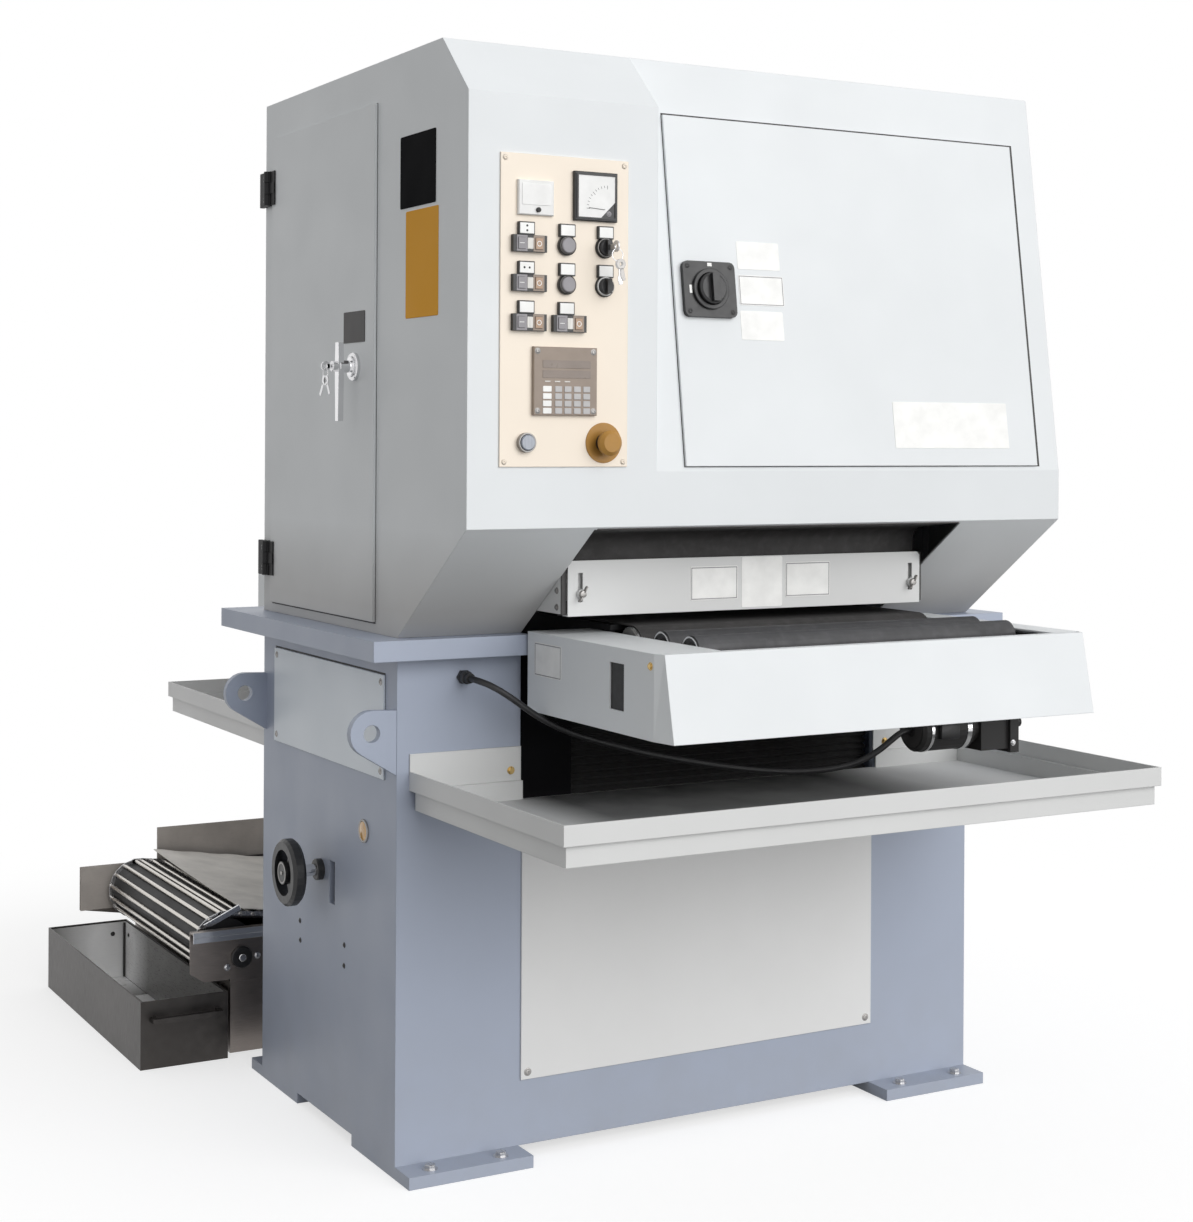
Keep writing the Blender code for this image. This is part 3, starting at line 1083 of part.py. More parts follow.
def conveyor_cable():
    """The cable from the gland to the feed motor, sagging under the table."""
    guide = bpy.data.curves.new("cable_route", "CURVE")
    guide.dimensions = "3D"
    guide.bevel_depth = CABLE_R
    guide.bevel_resolution = 2
    guide.use_fill_caps = True
    under_table = GLAND_X + CABLE_DROP[-1][0]
    way = GEAR_MOTOR_X[0] - FIT * 2 - under_table
    route = [(GLAND_X + past, y, GLAND_Z + up) for past, y, up in CABLE_DROP]
    route += [(under_table + share * way, y, GLAND_Z + up) for share, y, up in CABLE_SAG]
    points = smooth_route(route, 3)
    spline = guide.splines.new("POLY")
    spline.points.add(len(points) - 1)
    for target, point in zip(spline.points, points):
        target.co = (*point, 1.0)
    tube = bpy.data.objects.new("conveyor_cable", guide)
    bpy.context.scene.collection.objects.link(tube)
    tube.data.materials.append(paint("cable_rubber"))
    tube.parent = ROOT


def smooth_route(route, steps):
    """Points on the Catmull-Rom curve through a route."""
    knots = [Vector(p) for p in route]
    knots = [2 * knots[0] - knots[1]] + knots + [2 * knots[-1] - knots[-2]]
    points = []
    for a, b, c, d in zip(knots, knots[1:], knots[2:], knots[3:]):
        for i in range(steps):
            t = i / steps
            points.append(0.5 * (2 * b + (c - a) * t + (2 * a - 5 * b + 4 * c - d) * t * t
                                 + (3 * b - a - 3 * c + d) * t ** 3))
    return points + [knots[-2]]


# ---------------------------------------------------------------- coolant filter
def open_box(x, y, height):
    """A box of sheet steel, open at the top."""
    return lofted([(x, y, 0.0), (x, y, height), (shrink(x, SHEET), shrink(y, SHEET), height),
                   (shrink(x, SHEET), shrink(y, SHEET), SHEET)])


def filter_tank():
    """Coolant tank with the side plates that carry the filter's conveyor."""
    tank = open_box(TANK_X, TANK_Y, TANK_H)
    over = TANK_H - 0.010
    clear = SLUDGE_H + 0.015
    foot = [(TANK_X[0], over), (FILTER_SIDE_X1, over)]
    near = foot + [(FILTER_SIDE_X1, FILTER_NEAR_TOP), (FILTER_NEAR_X, FILTER_NEAR_TOP),
                   (FILTER_NEAR_X, clear + 0.020), (FILTER_NEAR_X + 0.030, clear), (TANK_X[0], clear)]
    far = foot + [(FILTER_SIDE_X1, FILTER_FAR_TOP), (0.045, FILTER_FAR_TOP), (0.045, FILTER_FAR_STEP),
                  (FILTER_FAR_X, FILTER_FAR_STEP), (FILTER_FAR_X, clear + 0.022), (TANK_X[0], clear)]
    fuse(tank, prism("Y", near, (TANK_Y[0] + 0.0004, TANK_Y[0] + 0.0034)))
    fuse(tank, prism("Y", far, (TANK_Y[1] - 0.0034, TANK_Y[1] - 0.0004)))
    rail = block((FILTER_NEAR_X, FILTER_SIDE_X1), (TANK_Y[0] - 0.016, TANK_Y[0] + 0.002),
                 (FILTER_NEAR_TOP - 0.0035, FILTER_NEAR_TOP - 0.0005))
    node("filter_tank", fuse(tank, rail), "stainless")


def sludge_box():
    """The pull-out box that catches the filter's sludge."""
    box = open_box(SLUDGE_X, SLUDGE_Y, SLUDGE_H)
    bar = shrink(SLUDGE_X, 0.018)
    out = SLUDGE_Y[0] - SLUDGE_HANDLE_OUT
    bar_z = (SLUDGE_HANDLE_Z - 0.005, SLUDGE_HANDLE_Z + 0.005)
    handle = block(bar, (out, out + 0.010), bar_z)
    for x in ((bar[0], bar[0] + 0.010), (bar[1] - 0.010, bar[1])):
        fuse(handle, block(x, (out + LAP, SLUDGE_Y[0] + LAP), shrink(bar_z, 0.0003)))
    pivot = empty("sludge_slide", (SLUDGE_X[0], SLUDGE_Y[0], 0.0), ROOT)
    node("sludge_box", fuse(box, handle), "stainless", pivot)


def filter_conveyor():
    """Head roller and the endless rod belt of the filter."""
    span = shrink(TANK_Y, 0.0034 + FIT)
    body = shrink(TANK_Y, 0.020)
    profile = [(0.010, span[0]), (0.010, body[0]), (FILTER_ROLLER_R, body[0] + 0.0005),
               (FILTER_ROLLER_R, body[1] - 0.0005), (0.010, body[1]), (0.010, span[1])]
    head = turned("Y", (FILTER_HEAD_X, FILTER_HEAD_Z), profile, MEDIUM_ROUND)
    pivot = empty("filter_head_axis", (FILTER_HEAD_X, body[0], FILTER_HEAD_Z), ROOT)
    node("filter_head_roller", head, "steel", pivot, smooth=True)
    ends = [((FILTER_HEAD_X, FILTER_HEAD_Z), FILTER_ROLLER_R + FIT),
            ((FILTER_TAIL_X, FILTER_TAIL_Z), FILTER_TAIL_R)]
    band = belt_loop("Y", ends, FILTER_BELT_T, shrink(body, 0.004), 14)
    node("filter_belt", band, "steel", smooth=True)


# ---------------------------------------------------------------- assembly
def main():
    """Builds the whole machine."""
    global ROOT
    for old in list(bpy.data.objects):
        bpy.data.objects.remove(old)
    ROOT = empty("machine", (0, 0, 0))
    ROOT.location = -ORIGIN
    base_frame()
    base_covers()
    trays()
    cabinet_shell()
    side_door()
    drive_side_cover()
    front_door()
    guard()
    control_panel()
    buttons()
    table = table_pivot()
    table_frame(table)
    feed_rollers(table)
    feed_belt(table)
    front_skirt(table)
    rear_skirt(table)
    gear_motor(table)
    lift_screws()
    handwheel()
    sanding_frame()
    drum()
    tension_unit()
    abrasive_belt()
    main_motor()
    cable_gland()
    conveyor_cable()
    filter_tank()
    sludge_box()
    filter_conveyor()


main()
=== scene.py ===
"""Looks of the wide-belt wet drum sander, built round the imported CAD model.

Metres, +Z up.  Places are written in the machine's own axes, as in the CAD: X along the
front from the base's left face, Y towards the back from the base's front face, Z up from
the floor.  A face has axes of its own: u to the right, v up, w out of the face.
"""
import math

import bmesh
import bpy
from mathutils import Matrix, Vector


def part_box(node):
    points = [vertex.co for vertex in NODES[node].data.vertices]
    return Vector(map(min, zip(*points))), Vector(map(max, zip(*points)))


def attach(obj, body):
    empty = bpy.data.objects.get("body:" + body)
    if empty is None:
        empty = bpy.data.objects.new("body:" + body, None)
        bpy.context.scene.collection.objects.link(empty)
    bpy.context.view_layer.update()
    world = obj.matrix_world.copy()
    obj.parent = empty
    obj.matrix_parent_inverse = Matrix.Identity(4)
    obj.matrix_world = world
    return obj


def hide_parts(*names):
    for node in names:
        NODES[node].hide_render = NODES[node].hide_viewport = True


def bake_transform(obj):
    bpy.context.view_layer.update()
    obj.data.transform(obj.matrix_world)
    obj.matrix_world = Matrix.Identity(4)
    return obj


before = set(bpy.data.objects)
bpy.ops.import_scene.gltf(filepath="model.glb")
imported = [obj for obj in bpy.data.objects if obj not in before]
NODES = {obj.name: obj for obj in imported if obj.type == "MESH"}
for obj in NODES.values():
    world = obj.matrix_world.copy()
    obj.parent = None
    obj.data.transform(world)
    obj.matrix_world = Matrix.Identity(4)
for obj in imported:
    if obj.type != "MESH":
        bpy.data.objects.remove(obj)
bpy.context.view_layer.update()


class Box:
    """A CAD node's box, in the machine's axes, as pairs x, y and z."""

    def __init__(self, node, home=Vector((0, 0, 0))):
        low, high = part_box(node)
        self.x, self.y, self.z = ((low[i] - home[i], high[i] - home[i]) for i in range(3))

    def middle(self):
        """The box's middle."""
        return Vector([(a + b) / 2 for a, b in (self.x, self.y, self.z)])


FIT = 0.0003  # the gap between nodes that touch
LEFT_COVER = Box("left_cover")
HOME = Vector((LEFT_COVER.x[1] + FIT, LEFT_COVER.y[0] - 0.05, 0.0))  # the base's front left corner


def place_of(node):
    """Where a CAD node is, in the machine's axes."""
    return Box(node, HOME)


SHEET = 0.003  # the sheet metal
PRINT, LABEL = (0.0, 0.0002), (0.0, 0.0005)  # how far marks and labels stand out of a face
BASE_RIGHT = 1.22  # the base's right face
ROUND, MEDIUM, SMALL = 32, 24, 16  # sides of what is turned
ROUND_ANGLES = [2 * math.pi * k / MEDIUM for k in range(MEDIUM)]


# ---------------------------------------------------------------- faces of the machine
def face(origin, u, v, w):
    """The matrix from a face's (u, v, w) to the machine's axes."""
    matrix = Matrix((Vector(u), Vector(v), Vector(w))).transposed().to_4x4()
    return Matrix.Translation(Vector(origin)) @ matrix


def facing(u, v, w):
    """A maker of faces that look along w; it is told where they lie along that axis."""
    axis = Vector([abs(part) for part in w])
    return lambda place: face(place * axis, u, v, w)


front_at = facing((1, 0, 0), (0, 0, 1), (0, -1, 0))
back_at = facing((1, 0, 0), (0, 0, 1), (0, 1, 0))
left_at = facing((0, 1, 0), (0, 0, 1), (-1, 0, 0))
right_at = facing((0, 1, 0), (0, 0, 1), (1, 0, 0))
top_at = facing((1, 0, 0), (0, 1, 0), (0, 0, 1))


SHELL = place_of("cabinet_shell")
HOOD_FRONT = SHELL.y[0]
SLOPE_FOOT = Vector((0.0, HOOD_FRONT, 1.199))  # the hood's sloping front, which the front door closes
SLOPE_TOP = Vector((0.0, -0.169, SHELL.z[1]))
SLOPE_UP = (SLOPE_TOP - SLOPE_FOOT).normalized()
SLOPE_OUT = Vector((0.0, -SLOPE_UP.z, SLOPE_UP.y))
SLOPE = face(SLOPE_FOOT, (1, 0, 0), SLOPE_UP, SLOPE_OUT)


def up_slope(z):
    """How far up the slope a height is."""
    return (z - SLOPE_FOOT.z) / SLOPE_UP.z


# ---------------------------------------------------------------- shapes, as bmeshes
def merged(*shapes):
    """Several shapes as one."""
    mesh = bpy.data.meshes.new("part")
    whole = bmesh.new()
    for shape in shapes:
        shape.to_mesh(mesh)
        whole.from_mesh(mesh)
        shape.free()
    bpy.data.meshes.remove(mesh)
    return whole


def moved(shape, matrix):
    """A shape carried to a face or turned."""
    bmesh.ops.transform(shape, matrix=matrix, verts=shape.verts)
    return shape


def slab(u, v, w, edge=0.0004, segments=1):
    """A block with softened edges."""
    bm = bmesh.new()
    bmesh.ops.create_cube(bm, size=1.0)
    for vert in bm.verts:
        vert.co = Vector(((u[0] + u[1]) / 2 + vert.co.x * (u[1] - u[0]), (v[0] + v[1]) / 2
                          + vert.co.y * (v[1] - v[0]), (w[0] + w[1]) / 2 + vert.co.z * (w[1] - w[0])))
    if edge:
        bmesh.ops.bevel(bm, geom=bm.edges[:], offset=edge, segments=segments, profile=0.5, affect="EDGES")
    return bm


def rounded(u, v, radius, steps=5):
    """A rectangle's outline with round corners."""
    points = []
    centres = ((u[1] - radius, v[1] - radius), (u[0] + radius, v[1] - radius), (u[0] + radius, v[0] + radius),
               (u[1] - radius, v[0] + radius))
    for corner, (cu, cv) in enumerate(centres):
        for i in range(steps + 1):
            angle = math.radians(90 * corner + 90 * i / steps)
            points.append((cu + radius * math.cos(angle), cv + radius * math.sin(angle)))
    return points


def raised(outline, w, edge=0.0):
    """An outline pushed out from w[0] to w[1], with a chamfer round its front."""
    bm = bmesh.new()
    count = len(outline)
    middle = (sum(p[0] for p in outline) / count, sum(p[1] for p in outline) / count)
    rings = [(0.0, w[0]), (0.0, w[1] - edge)] + ([(edge, w[1])] if edge else [])
    loops = []
    for inward, out in rings:
        loop = []
        for u, v in outline:
            away = math.hypot(u - middle[0], v - middle[1])
            keep = 1.0 - inward / away
            loop.append(bm.verts.new((middle[0] + (u - middle[0]) * keep, middle[1] + (v - middle[1]) * keep, out)))
        loops.append(loop)
    for a, b in zip(loops, loops[1:]):
        stitch(bm, a, b)
    bm.faces.new(loops[0])
    bm.faces.new(loops[-1])
    return bm


def stitch(bm, a, b, closed=True):
    """Quads between two rows of points."""
    last = len(a) if closed else len(a) - 1
    for i in range(last):
        j = (i + 1) % len(a)
        bm.faces.new((a[i], a[j], b[j], b[i]))


def plate(u, v, w, radius=0.002, edge=0.0003):
    """A flat plate or sticker with round corners."""
    return raised(rounded(u, v, radius), w, edge)


def pierced(u, v, w, windows):
    """A plate with rectangular windows through it."""
    bm = bmesh.new()
    us = sorted({*u, *(value for window in windows for value in window[0])})
    vs = sorted({*v, *(value for window in windows for value in window[1])})
    corners = {(i, j, k): bm.verts.new((us[i], vs[j], w[k])) for i in range(len(us)) for j in range(len(vs))
               for k in (0, 1)}

    def solid(i, j):
        if not (0 <= i < len(us) - 1 and 0 <= j < len(vs) - 1):
            return False
        cu, cv = (us[i] + us[i + 1]) / 2, (vs[j] + vs[j + 1]) / 2
        return not any(wu[0] < cu < wu[1] and wv[0] < cv < wv[1] for wu, wv in windows)

    for i in range(len(us) - 1):
        for j in range(len(vs) - 1):
            if not solid(i, j):
                continue
            for k in (0, 1):
                bm.faces.new([corners[i + a, j + b, k] for a, b in ((0, 0), (1, 0), (1, 1), (0, 1))])
            for a, b, near in (((0, 0), (1, 0), solid(i, j - 1)), ((1, 0), (1, 1), solid(i + 1, j)),
                               ((1, 1), (0, 1), solid(i, j + 1)), ((0, 1), (0, 0), solid(i - 1, j))):
                if not near:
                    bm.faces.new([corners[i + a[0], j + a[1], 0], corners[i + b[0], j + b[1], 0],
                                  corners[i + b[0], j + b[1], 1], corners[i + a[0], j + a[1], 1]])
    bmesh.ops.delete(bm, geom=[vert for vert in bm.verts if not vert.link_faces], context="VERTS")
    return bm


def turned(centre, profile, sides=ROUND, ends=True):
    """A profile of (radius, w) turned about the face's normal; open if the profile closes itself."""
    bm = bmesh.new()
    loops = []
    for radius, out in profile:
        loops.append([bm.verts.new((centre[0] + radius * math.cos(2 * math.pi * i / sides), centre[1]
                                    + radius * math.sin(2 * math.pi * i / sides), out)) for i in range(sides)])
    for a, b in zip(loops, loops[1:]):
        stitch(bm, a, b)
    if ends:
        bm.faces.new(loops[0])
        bm.faces.new(loops[-1])
    else:
        stitch(bm, loops[-1], loops[0])
    return bm


def ring(centre, inner, outer, w, edge=0.0004, sides=ROUND):
    """A flat ring with chamfered front edges."""
    return turned(centre, [(inner, w[0]), (outer, w[0]), (outer, w[1] - edge), (outer - edge, w[1]),
                           (inner + edge, w[1]), (inner, w[1] - edge)], sides, ends=False)


def screw(centre, radius=0.0045, w=0.0, height=0.0022):
    """A pan head screw with a hexagon socket and a washer under it."""
    head = turned(centre, [(radius, w), (radius, w + height * 0.5), (radius * 0.86, w + height * 0.86),
                           (radius * 0.62, w + height), (radius * 0.46, w + height),
                           (radius * 0.42, w + height * 0.45)], MEDIUM)
    washer = turned(centre, [(radius * 1.5, w), (radius * 1.5, w + height * 0.16),
                             (radius * 1.42, w + height * 0.24)], MEDIUM)
    return merged(washer, head)


def bolt(centre, radius=0.006, w=0.0, height=0.005):
    """A hexagon head bolt on a washer."""
    head = turned(centre, [(radius, w + height * 0.2), (radius, w + height * 0.88), (radius * 0.86, w + height)], 6)
    washer = turned(centre, [(radius * 1.35, w), (radius * 1.35, w + height * 0.2)], MEDIUM)
    return merged(washer, head)


def tube(path, radius, sides=10, closed=False):
    """A round bar along a path of points, in the machine's axes."""
    bm = bmesh.new()
    points = [Vector(p) for p in path]
    count = len(points)
    loops = []
    side = None
    for i, point in enumerate(points):
        before = points[i - 1] if i or closed else point
        after = points[(i + 1) % count] if i < count - 1 or closed else point
        along = (after - before).normalized()
        if side is None:
            side = along.orthogonal().normalized()
        side = (side - along * side.dot(along)).normalized()
        other = along.cross(side)
        loops.append([bm.verts.new(point + (side * math.cos(a) + other * math.sin(a)) * radius)
                      for a in (2 * math.pi * k / sides for k in range(sides))])
    for a, b in zip(loops, loops[1:]):
        stitch(bm, a, b)
    if closed:
        stitch(bm, loops[-1], loops[0])
    else:
        bm.faces.new(loops[0])
        bm.faces.new(loops[-1])
    return bm


def put(name, shape, look, where=None, body="machine", smooth=True):
    """Makes an object of a shape, or of a list of shapes, on a face; it rides on a body, if one is named."""
    shape = merged(*shape) if isinstance(shape, list) else shape
    if where is not None:
        moved(shape, where)
    moved(shape, Matrix.Translation(HOME))
    bmesh.ops.recalc_face_normals(shape, faces=shape.faces)
    mesh = bpy.data.meshes.new(name)
    shape.to_mesh(mesh)
    shape.free()
    if smooth:
        mesh.shade_smooth()
        mesh.set_sharp_from_angle(angle=math.radians(35))
    mesh.materials.append(PAINT[look])
    made = bpy.data.objects.new(name, mesh)
    bpy.context.scene.collection.objects.link(made)
    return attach(made, body) if body else made


def about(middle, half):
    """From half below a middle to half above it."""
    return middle - half, middle + half


def corners(u, v, inset):
    """Four places drawn in from a rectangle's corners."""
    return [(a, b) for a in within(u, inset) for b in within(v, inset)]


def within(span, inset):
    """A span drawn in at both ends."""
    return span[0] + inset, span[1] - inset


# ---------------------------------------------------------------- materials
class Tree:
    """The nodes of a new material or world, with the row frame's coordinates."""

    def __init__(self, owner):
        owner.use_nodes = True
        self.owner = owner
        self.nodes, self.links = owner.node_tree.nodes, owner.node_tree.links
        self.where = self.node("TexCoord").outputs["Object"]

    def feed(self, socket, value):
        """Gives a socket a number, a vector, a colour or what another socket puts out."""
        if isinstance(value, bpy.types.NodeSocket):
            self.links.new(value, socket)
        else:
            socket.default_value = (*value, 1.0) if socket.type == "RGBA" else value

    def feed_all(self, sockets, values):
        """Feeds a node's inputs by name, with _ for a space."""
        for key, value in values.items():
            self.feed(sockets[key.replace("_", " ")], value)

    def node(self, kind, **values):
        """A new node with its inputs fed."""
        made = self.nodes.new("ShaderNode" + kind)
        self.feed_all(made.inputs, values)
        return made

    def set(self, **values):
        """Feeds the surface's own inputs."""
        self.feed_all(self.nodes["Principled BSDF"].inputs, values)

    def stretched(self, scale):
        """Coordinates pulled out along the axes, for brushed and woven surfaces."""
        return self.node("Mapping", Scale=scale, Vector=self.where).outputs["Vector"]

    def along(self, axis):
        """How far a point is along an axis of the row frame."""
        return self.node("SeparateXYZ", Vector=self.where).outputs[axis]

    def noise(self, scale, detail=3.0, where=None):
        """Cloudy noise, about 0.3 to 0.7; scale is its number of lumps in a metre."""
        made = self.node("TexNoise", Scale=scale, Detail=detail, Roughness=0.55, Vector=where or self.where)
        return made.outputs["Fac"]

    def cells(self, scale):
        """Distance from the middle of a cell; scale is the number of cells in a metre."""
        return self.node("TexVoronoi", Scale=scale, Vector=self.where).outputs["Distance"]

    def spread(self, value, low, high, start=0.3, stop=0.7):
        """A value mapped from start..stop to low..high."""
        made = self.node("MapRange", From_Min=start, From_Max=stop, To_Min=low, To_Max=high, Value=value)
        return made.outputs["Result"]

    def pick(self, made, *values):
        """Feeds a node's first inputs in order, and gives its first output."""
        for socket, value in zip(made.inputs, values):
            self.feed(socket, value)
        return made.outputs[0]

    def mix(self, share, a, b):
        """Colour a turning into colour b; either may be a socket."""
        made = self.node("Mix", Factor=share)
        made.data_type = "RGBA"
        self.feed(made.inputs[6], a)
        self.feed(made.inputs[7], b)
        return made.outputs[2]

    def sum(self, a, b, how="ADD"):
        """Two values added, or joined in another way."""
        made = self.node("Math")
        made.operation = how
        return self.pick(made, a, b)

    def away(self, how, *place):
        """A point's distance from a place, or its length."""
        made = self.node("VectorMath", Vector=self.where)
        made.operation = how
        for value in place:
            made.inputs[1].default_value = value
        return made.outputs["Value"]

    def bump(self, height, strength, distance, edge=0.0):
        """Relief, and sharp edges rounded off by the radius edge."""
        made = self.node("Bump", Strength=strength, Distance=distance, Height=height)
        if edge:
            soft = self.node("Bevel", Radius=edge)
            soft.samples = 4
            self.feed(made.inputs["Normal"], soft.outputs["Normal"])
        self.set(Normal=made.outputs["Normal"])

    def seen(self):
        """1 for rays that show the background: the camera's, and those that metal and glass send."""
        rays = self.node("LightPath").outputs
        seen = self.sum(rays["Is Camera Ray"], rays["Is Glossy Ray"], "MAXIMUM")
        return self.sum(seen, rays["Is Transmission Ray"], "MAXIMUM")


def material(name):
    """The nodes of a new material."""
    return Tree(bpy.data.materials.new(name))


def shade(colour, by):
    """A colour made lighter or darker."""
    return tuple(min(1.0, c * by) for c in colour)


DUST = (0.3, 0.29, 0.27)
# the grey of the painted shade low on the hood
LOW_SHADE_GREY = (0.32, 0.3, 0.28)


def painted(name, colour, rough=0.36, edge=0.0016, dirt=0.0, peel=0.1, shine=0.5, low_shade=None):
    """Sprayed and baked enamel: faint cloudiness, orange peel and, if asked, dust low down.

    The last argument is (low, high, share): painted shade, a grey that grows into the colour from the height high
    down to low."""
    t = material(name)
    cloud = t.spread(t.noise(2.6, 4.0), 0.0, 1.0)
    tone = t.mix(cloud, shade(colour, 0.965), shade(colour, 1.02))
    if dirt:
        low = t.spread(t.along("Z"), dirt, 0.0, 0.0, 0.3)
        tone = t.mix(t.sum(low, t.spread(t.noise(14.0, 6.0), 0.2, 1.0), "MULTIPLY"), tone, DUST)
    # painted shade: the colour greys from the height high down to low, where the hood's lower faces fall in shade
    if low_shade:
        low, high, share = low_shade
        tone = t.mix(t.spread(t.along("Z"), share, 0.0, low, high), tone, LOW_SHADE_GREY)
    t.set(Base_Color=tone, Roughness=t.spread(t.noise(9.0, 5.0), rough - 0.05, rough + 0.07),
          Specular_IOR_Level=shine)
    t.bump(t.noise(420.0, 2.0), peel, 0.0004, edge)
    return t.owner


def metal(name, colour, rough=0.3, grain=(8.0, 8.0, 500.0), edge=0.0008, streak=0.1, depth=0.05):
    """Ground, turned or brushed metal; grain is how fine the streaks are along each axis."""
    t = material(name)
    lines = t.noise(1.0, 3.0, t.stretched(grain))
    cloud = t.noise(7.0, 4.0)
    tone = t.mix(t.spread(t.sum(lines, cloud, "MULTIPLY"), 0.0, 1.0, 0.1, 0.45), shade(colour, 1 - 1.6 * streak),
                 shade(colour, 1 + streak))
    t.set(Base_Color=tone, Metallic=1.0, Roughness=t.spread(lines, rough - 0.06, rough + 0.1))
    t.bump(lines, depth, 0.0003, edge)
    return t.owner


def plastic(name, colour, rough=0.4, texture=0.12, fine=1400.0, edge=0.0006):
    """Moulded plastic with a fine spark-eroded grain."""
    t = material(name)
    cloud = t.spread(t.noise(30.0, 3.0), 0.0, 1.0)
    t.set(Base_Color=t.mix(cloud, shade(colour, 0.93), shade(colour, 1.05)),
          Roughness=t.spread(t.noise(80.0, 3.0), rough - 0.04, rough + 0.06))
    t.bump(t.noise(fine, 2.0), texture, 0.0002, edge)
    return t.owner


def rubber(name, colour, rough=0.75, weave=None):
    """Rubber or a coated belt; weave is the pitch of its fabric imprint."""
    t = material(name)
    cloud = t.spread(t.noise(6.0, 5.0), 0.0, 1.0)
    dust = t.spread(t.noise(55.0, 6.0), 0.0, 0.5, 0.5, 0.8)
    tone = t.mix(dust, t.mix(cloud, shade(colour, 0.8), shade(colour, 1.25)), shade(colour, 2.2))
    t.set(Base_Color=tone, Roughness=t.spread(t.noise(40.0, 4.0), rough - 0.1, rough + 0.1))
    if weave:
        t.bump(t.cells(1.0 / weave), 0.35, 0.0005, 0.0008)
    else:
        t.bump(t.noise(600.0, 3.0), 0.2, 0.0003, 0.0008)
    return t.owner


def grit(name, colour):
    """Coated abrasive: grains on a cloth backing."""
    t = material(name)
    grain = t.cells(1500.0)
    speck = t.spread(grain, 0.0, 1.0, 0.1, 0.7)
    t.set(Base_Color=t.mix(speck, shade(colour, 1.6), shade(colour, 0.6)), Roughness=0.9)
    t.bump(grain, 0.6, 0.0006)
    return t.owner


def cloth(name, colour):
    """Filter fleece: fibres both ways, damp patches."""
    t = material(name)
    fibre = t.sum(t.noise(1.0, 2.0, t.stretched((900.0, 60.0, 60.0))),
                  t.noise(1.0, 2.0, t.stretched((60.0, 900.0, 900.0))))
    patch = t.spread(t.noise(11.0, 5.0), 0.0, 1.0)
    t.set(Base_Color=t.mix(patch, shade(colour, 0.78), shade(colour, 1.05)), Roughness=0.92)
    t.bump(fibre, 0.4, 0.0006)
    return t.owner


def lining(name, colour, highlight_corner=None):
    """Rolled sheet, half matt; the last argument is the corner (x, y) about which a near-white highlight is painted
    into the colour.
    """
    t = material(name)
    lines = t.noise(1.0, 3.0, t.stretched((60.0, 60.0, 900.0)))
    patch = t.spread(t.noise(8.0, 5.0), 0.0, 1.0)
    tone = t.mix(patch, shade(colour, 0.72), shade(colour, 1.05))
    # painted highlight: the colour turns near white about the corner
    if highlight_corner:
        away = t.away("DISTANCE", (*highlight_corner, 0.07))
        tone = t.mix(t.spread(away, 1.0, 0.0, 0.08, 0.19), tone, (0.98, 0.98, 0.98))
    t.set(Base_Color=tone, Metallic=0.0, Roughness=t.spread(lines, 0.24, 0.38))
    t.bump(lines, 0.05, 0.0003, 0.0008)
    return t.owner


def under_table_shade(name, clean, dark):
    """Enamel under the passage, with painted shade from the table over it, darkest towards the base and thinning
    out towards the front.
    """
    t = material(name)
    left = t.spread(t.along("X"), 0.0, 1.0, HOME.x + 0.2, HOME.x + 0.29)
    right = t.spread(t.along("X"), 1.0, 0.0, HOME.x + 0.84, HOME.x + 0.96)
    deep = t.spread(t.along("Y"), 0.3, 1.0, HOME.y - 0.5, HOME.y - 0.02)
    share = t.sum(t.sum(left, right, "MULTIPLY"), deep, "MULTIPLY")
    patchy = t.sum(share, t.spread(t.noise(12.0, 6.0), 0.85, 1.0), "MULTIPLY")
    # painted shade: the colour turns dark under the passage
    t.set(Base_Color=t.mix(patchy, clean, dark), Roughness=0.7, Specular_IOR_Level=0.2)
    t.bump(t.noise(90.0, 5.0), 0.15, 0.0006)
    return t.owner


def lens(name, colour, rough=0.12):
    """A clear coloured lens over a reflector."""
    t = material(name)
    ribs = t.noise(1.0, 1.0, t.stretched((700.0, 20.0, 20.0)))
    t.set(Base_Color=t.mix(t.spread(ribs, 0.0, 1.0), shade(colour, 0.8), shade(colour, 1.1)), Roughness=rough,
          Coat_Weight=0.6, Coat_Roughness=0.05)
    t.bump(ribs, 0.15, 0.0003, 0.0005)
    return t.owner


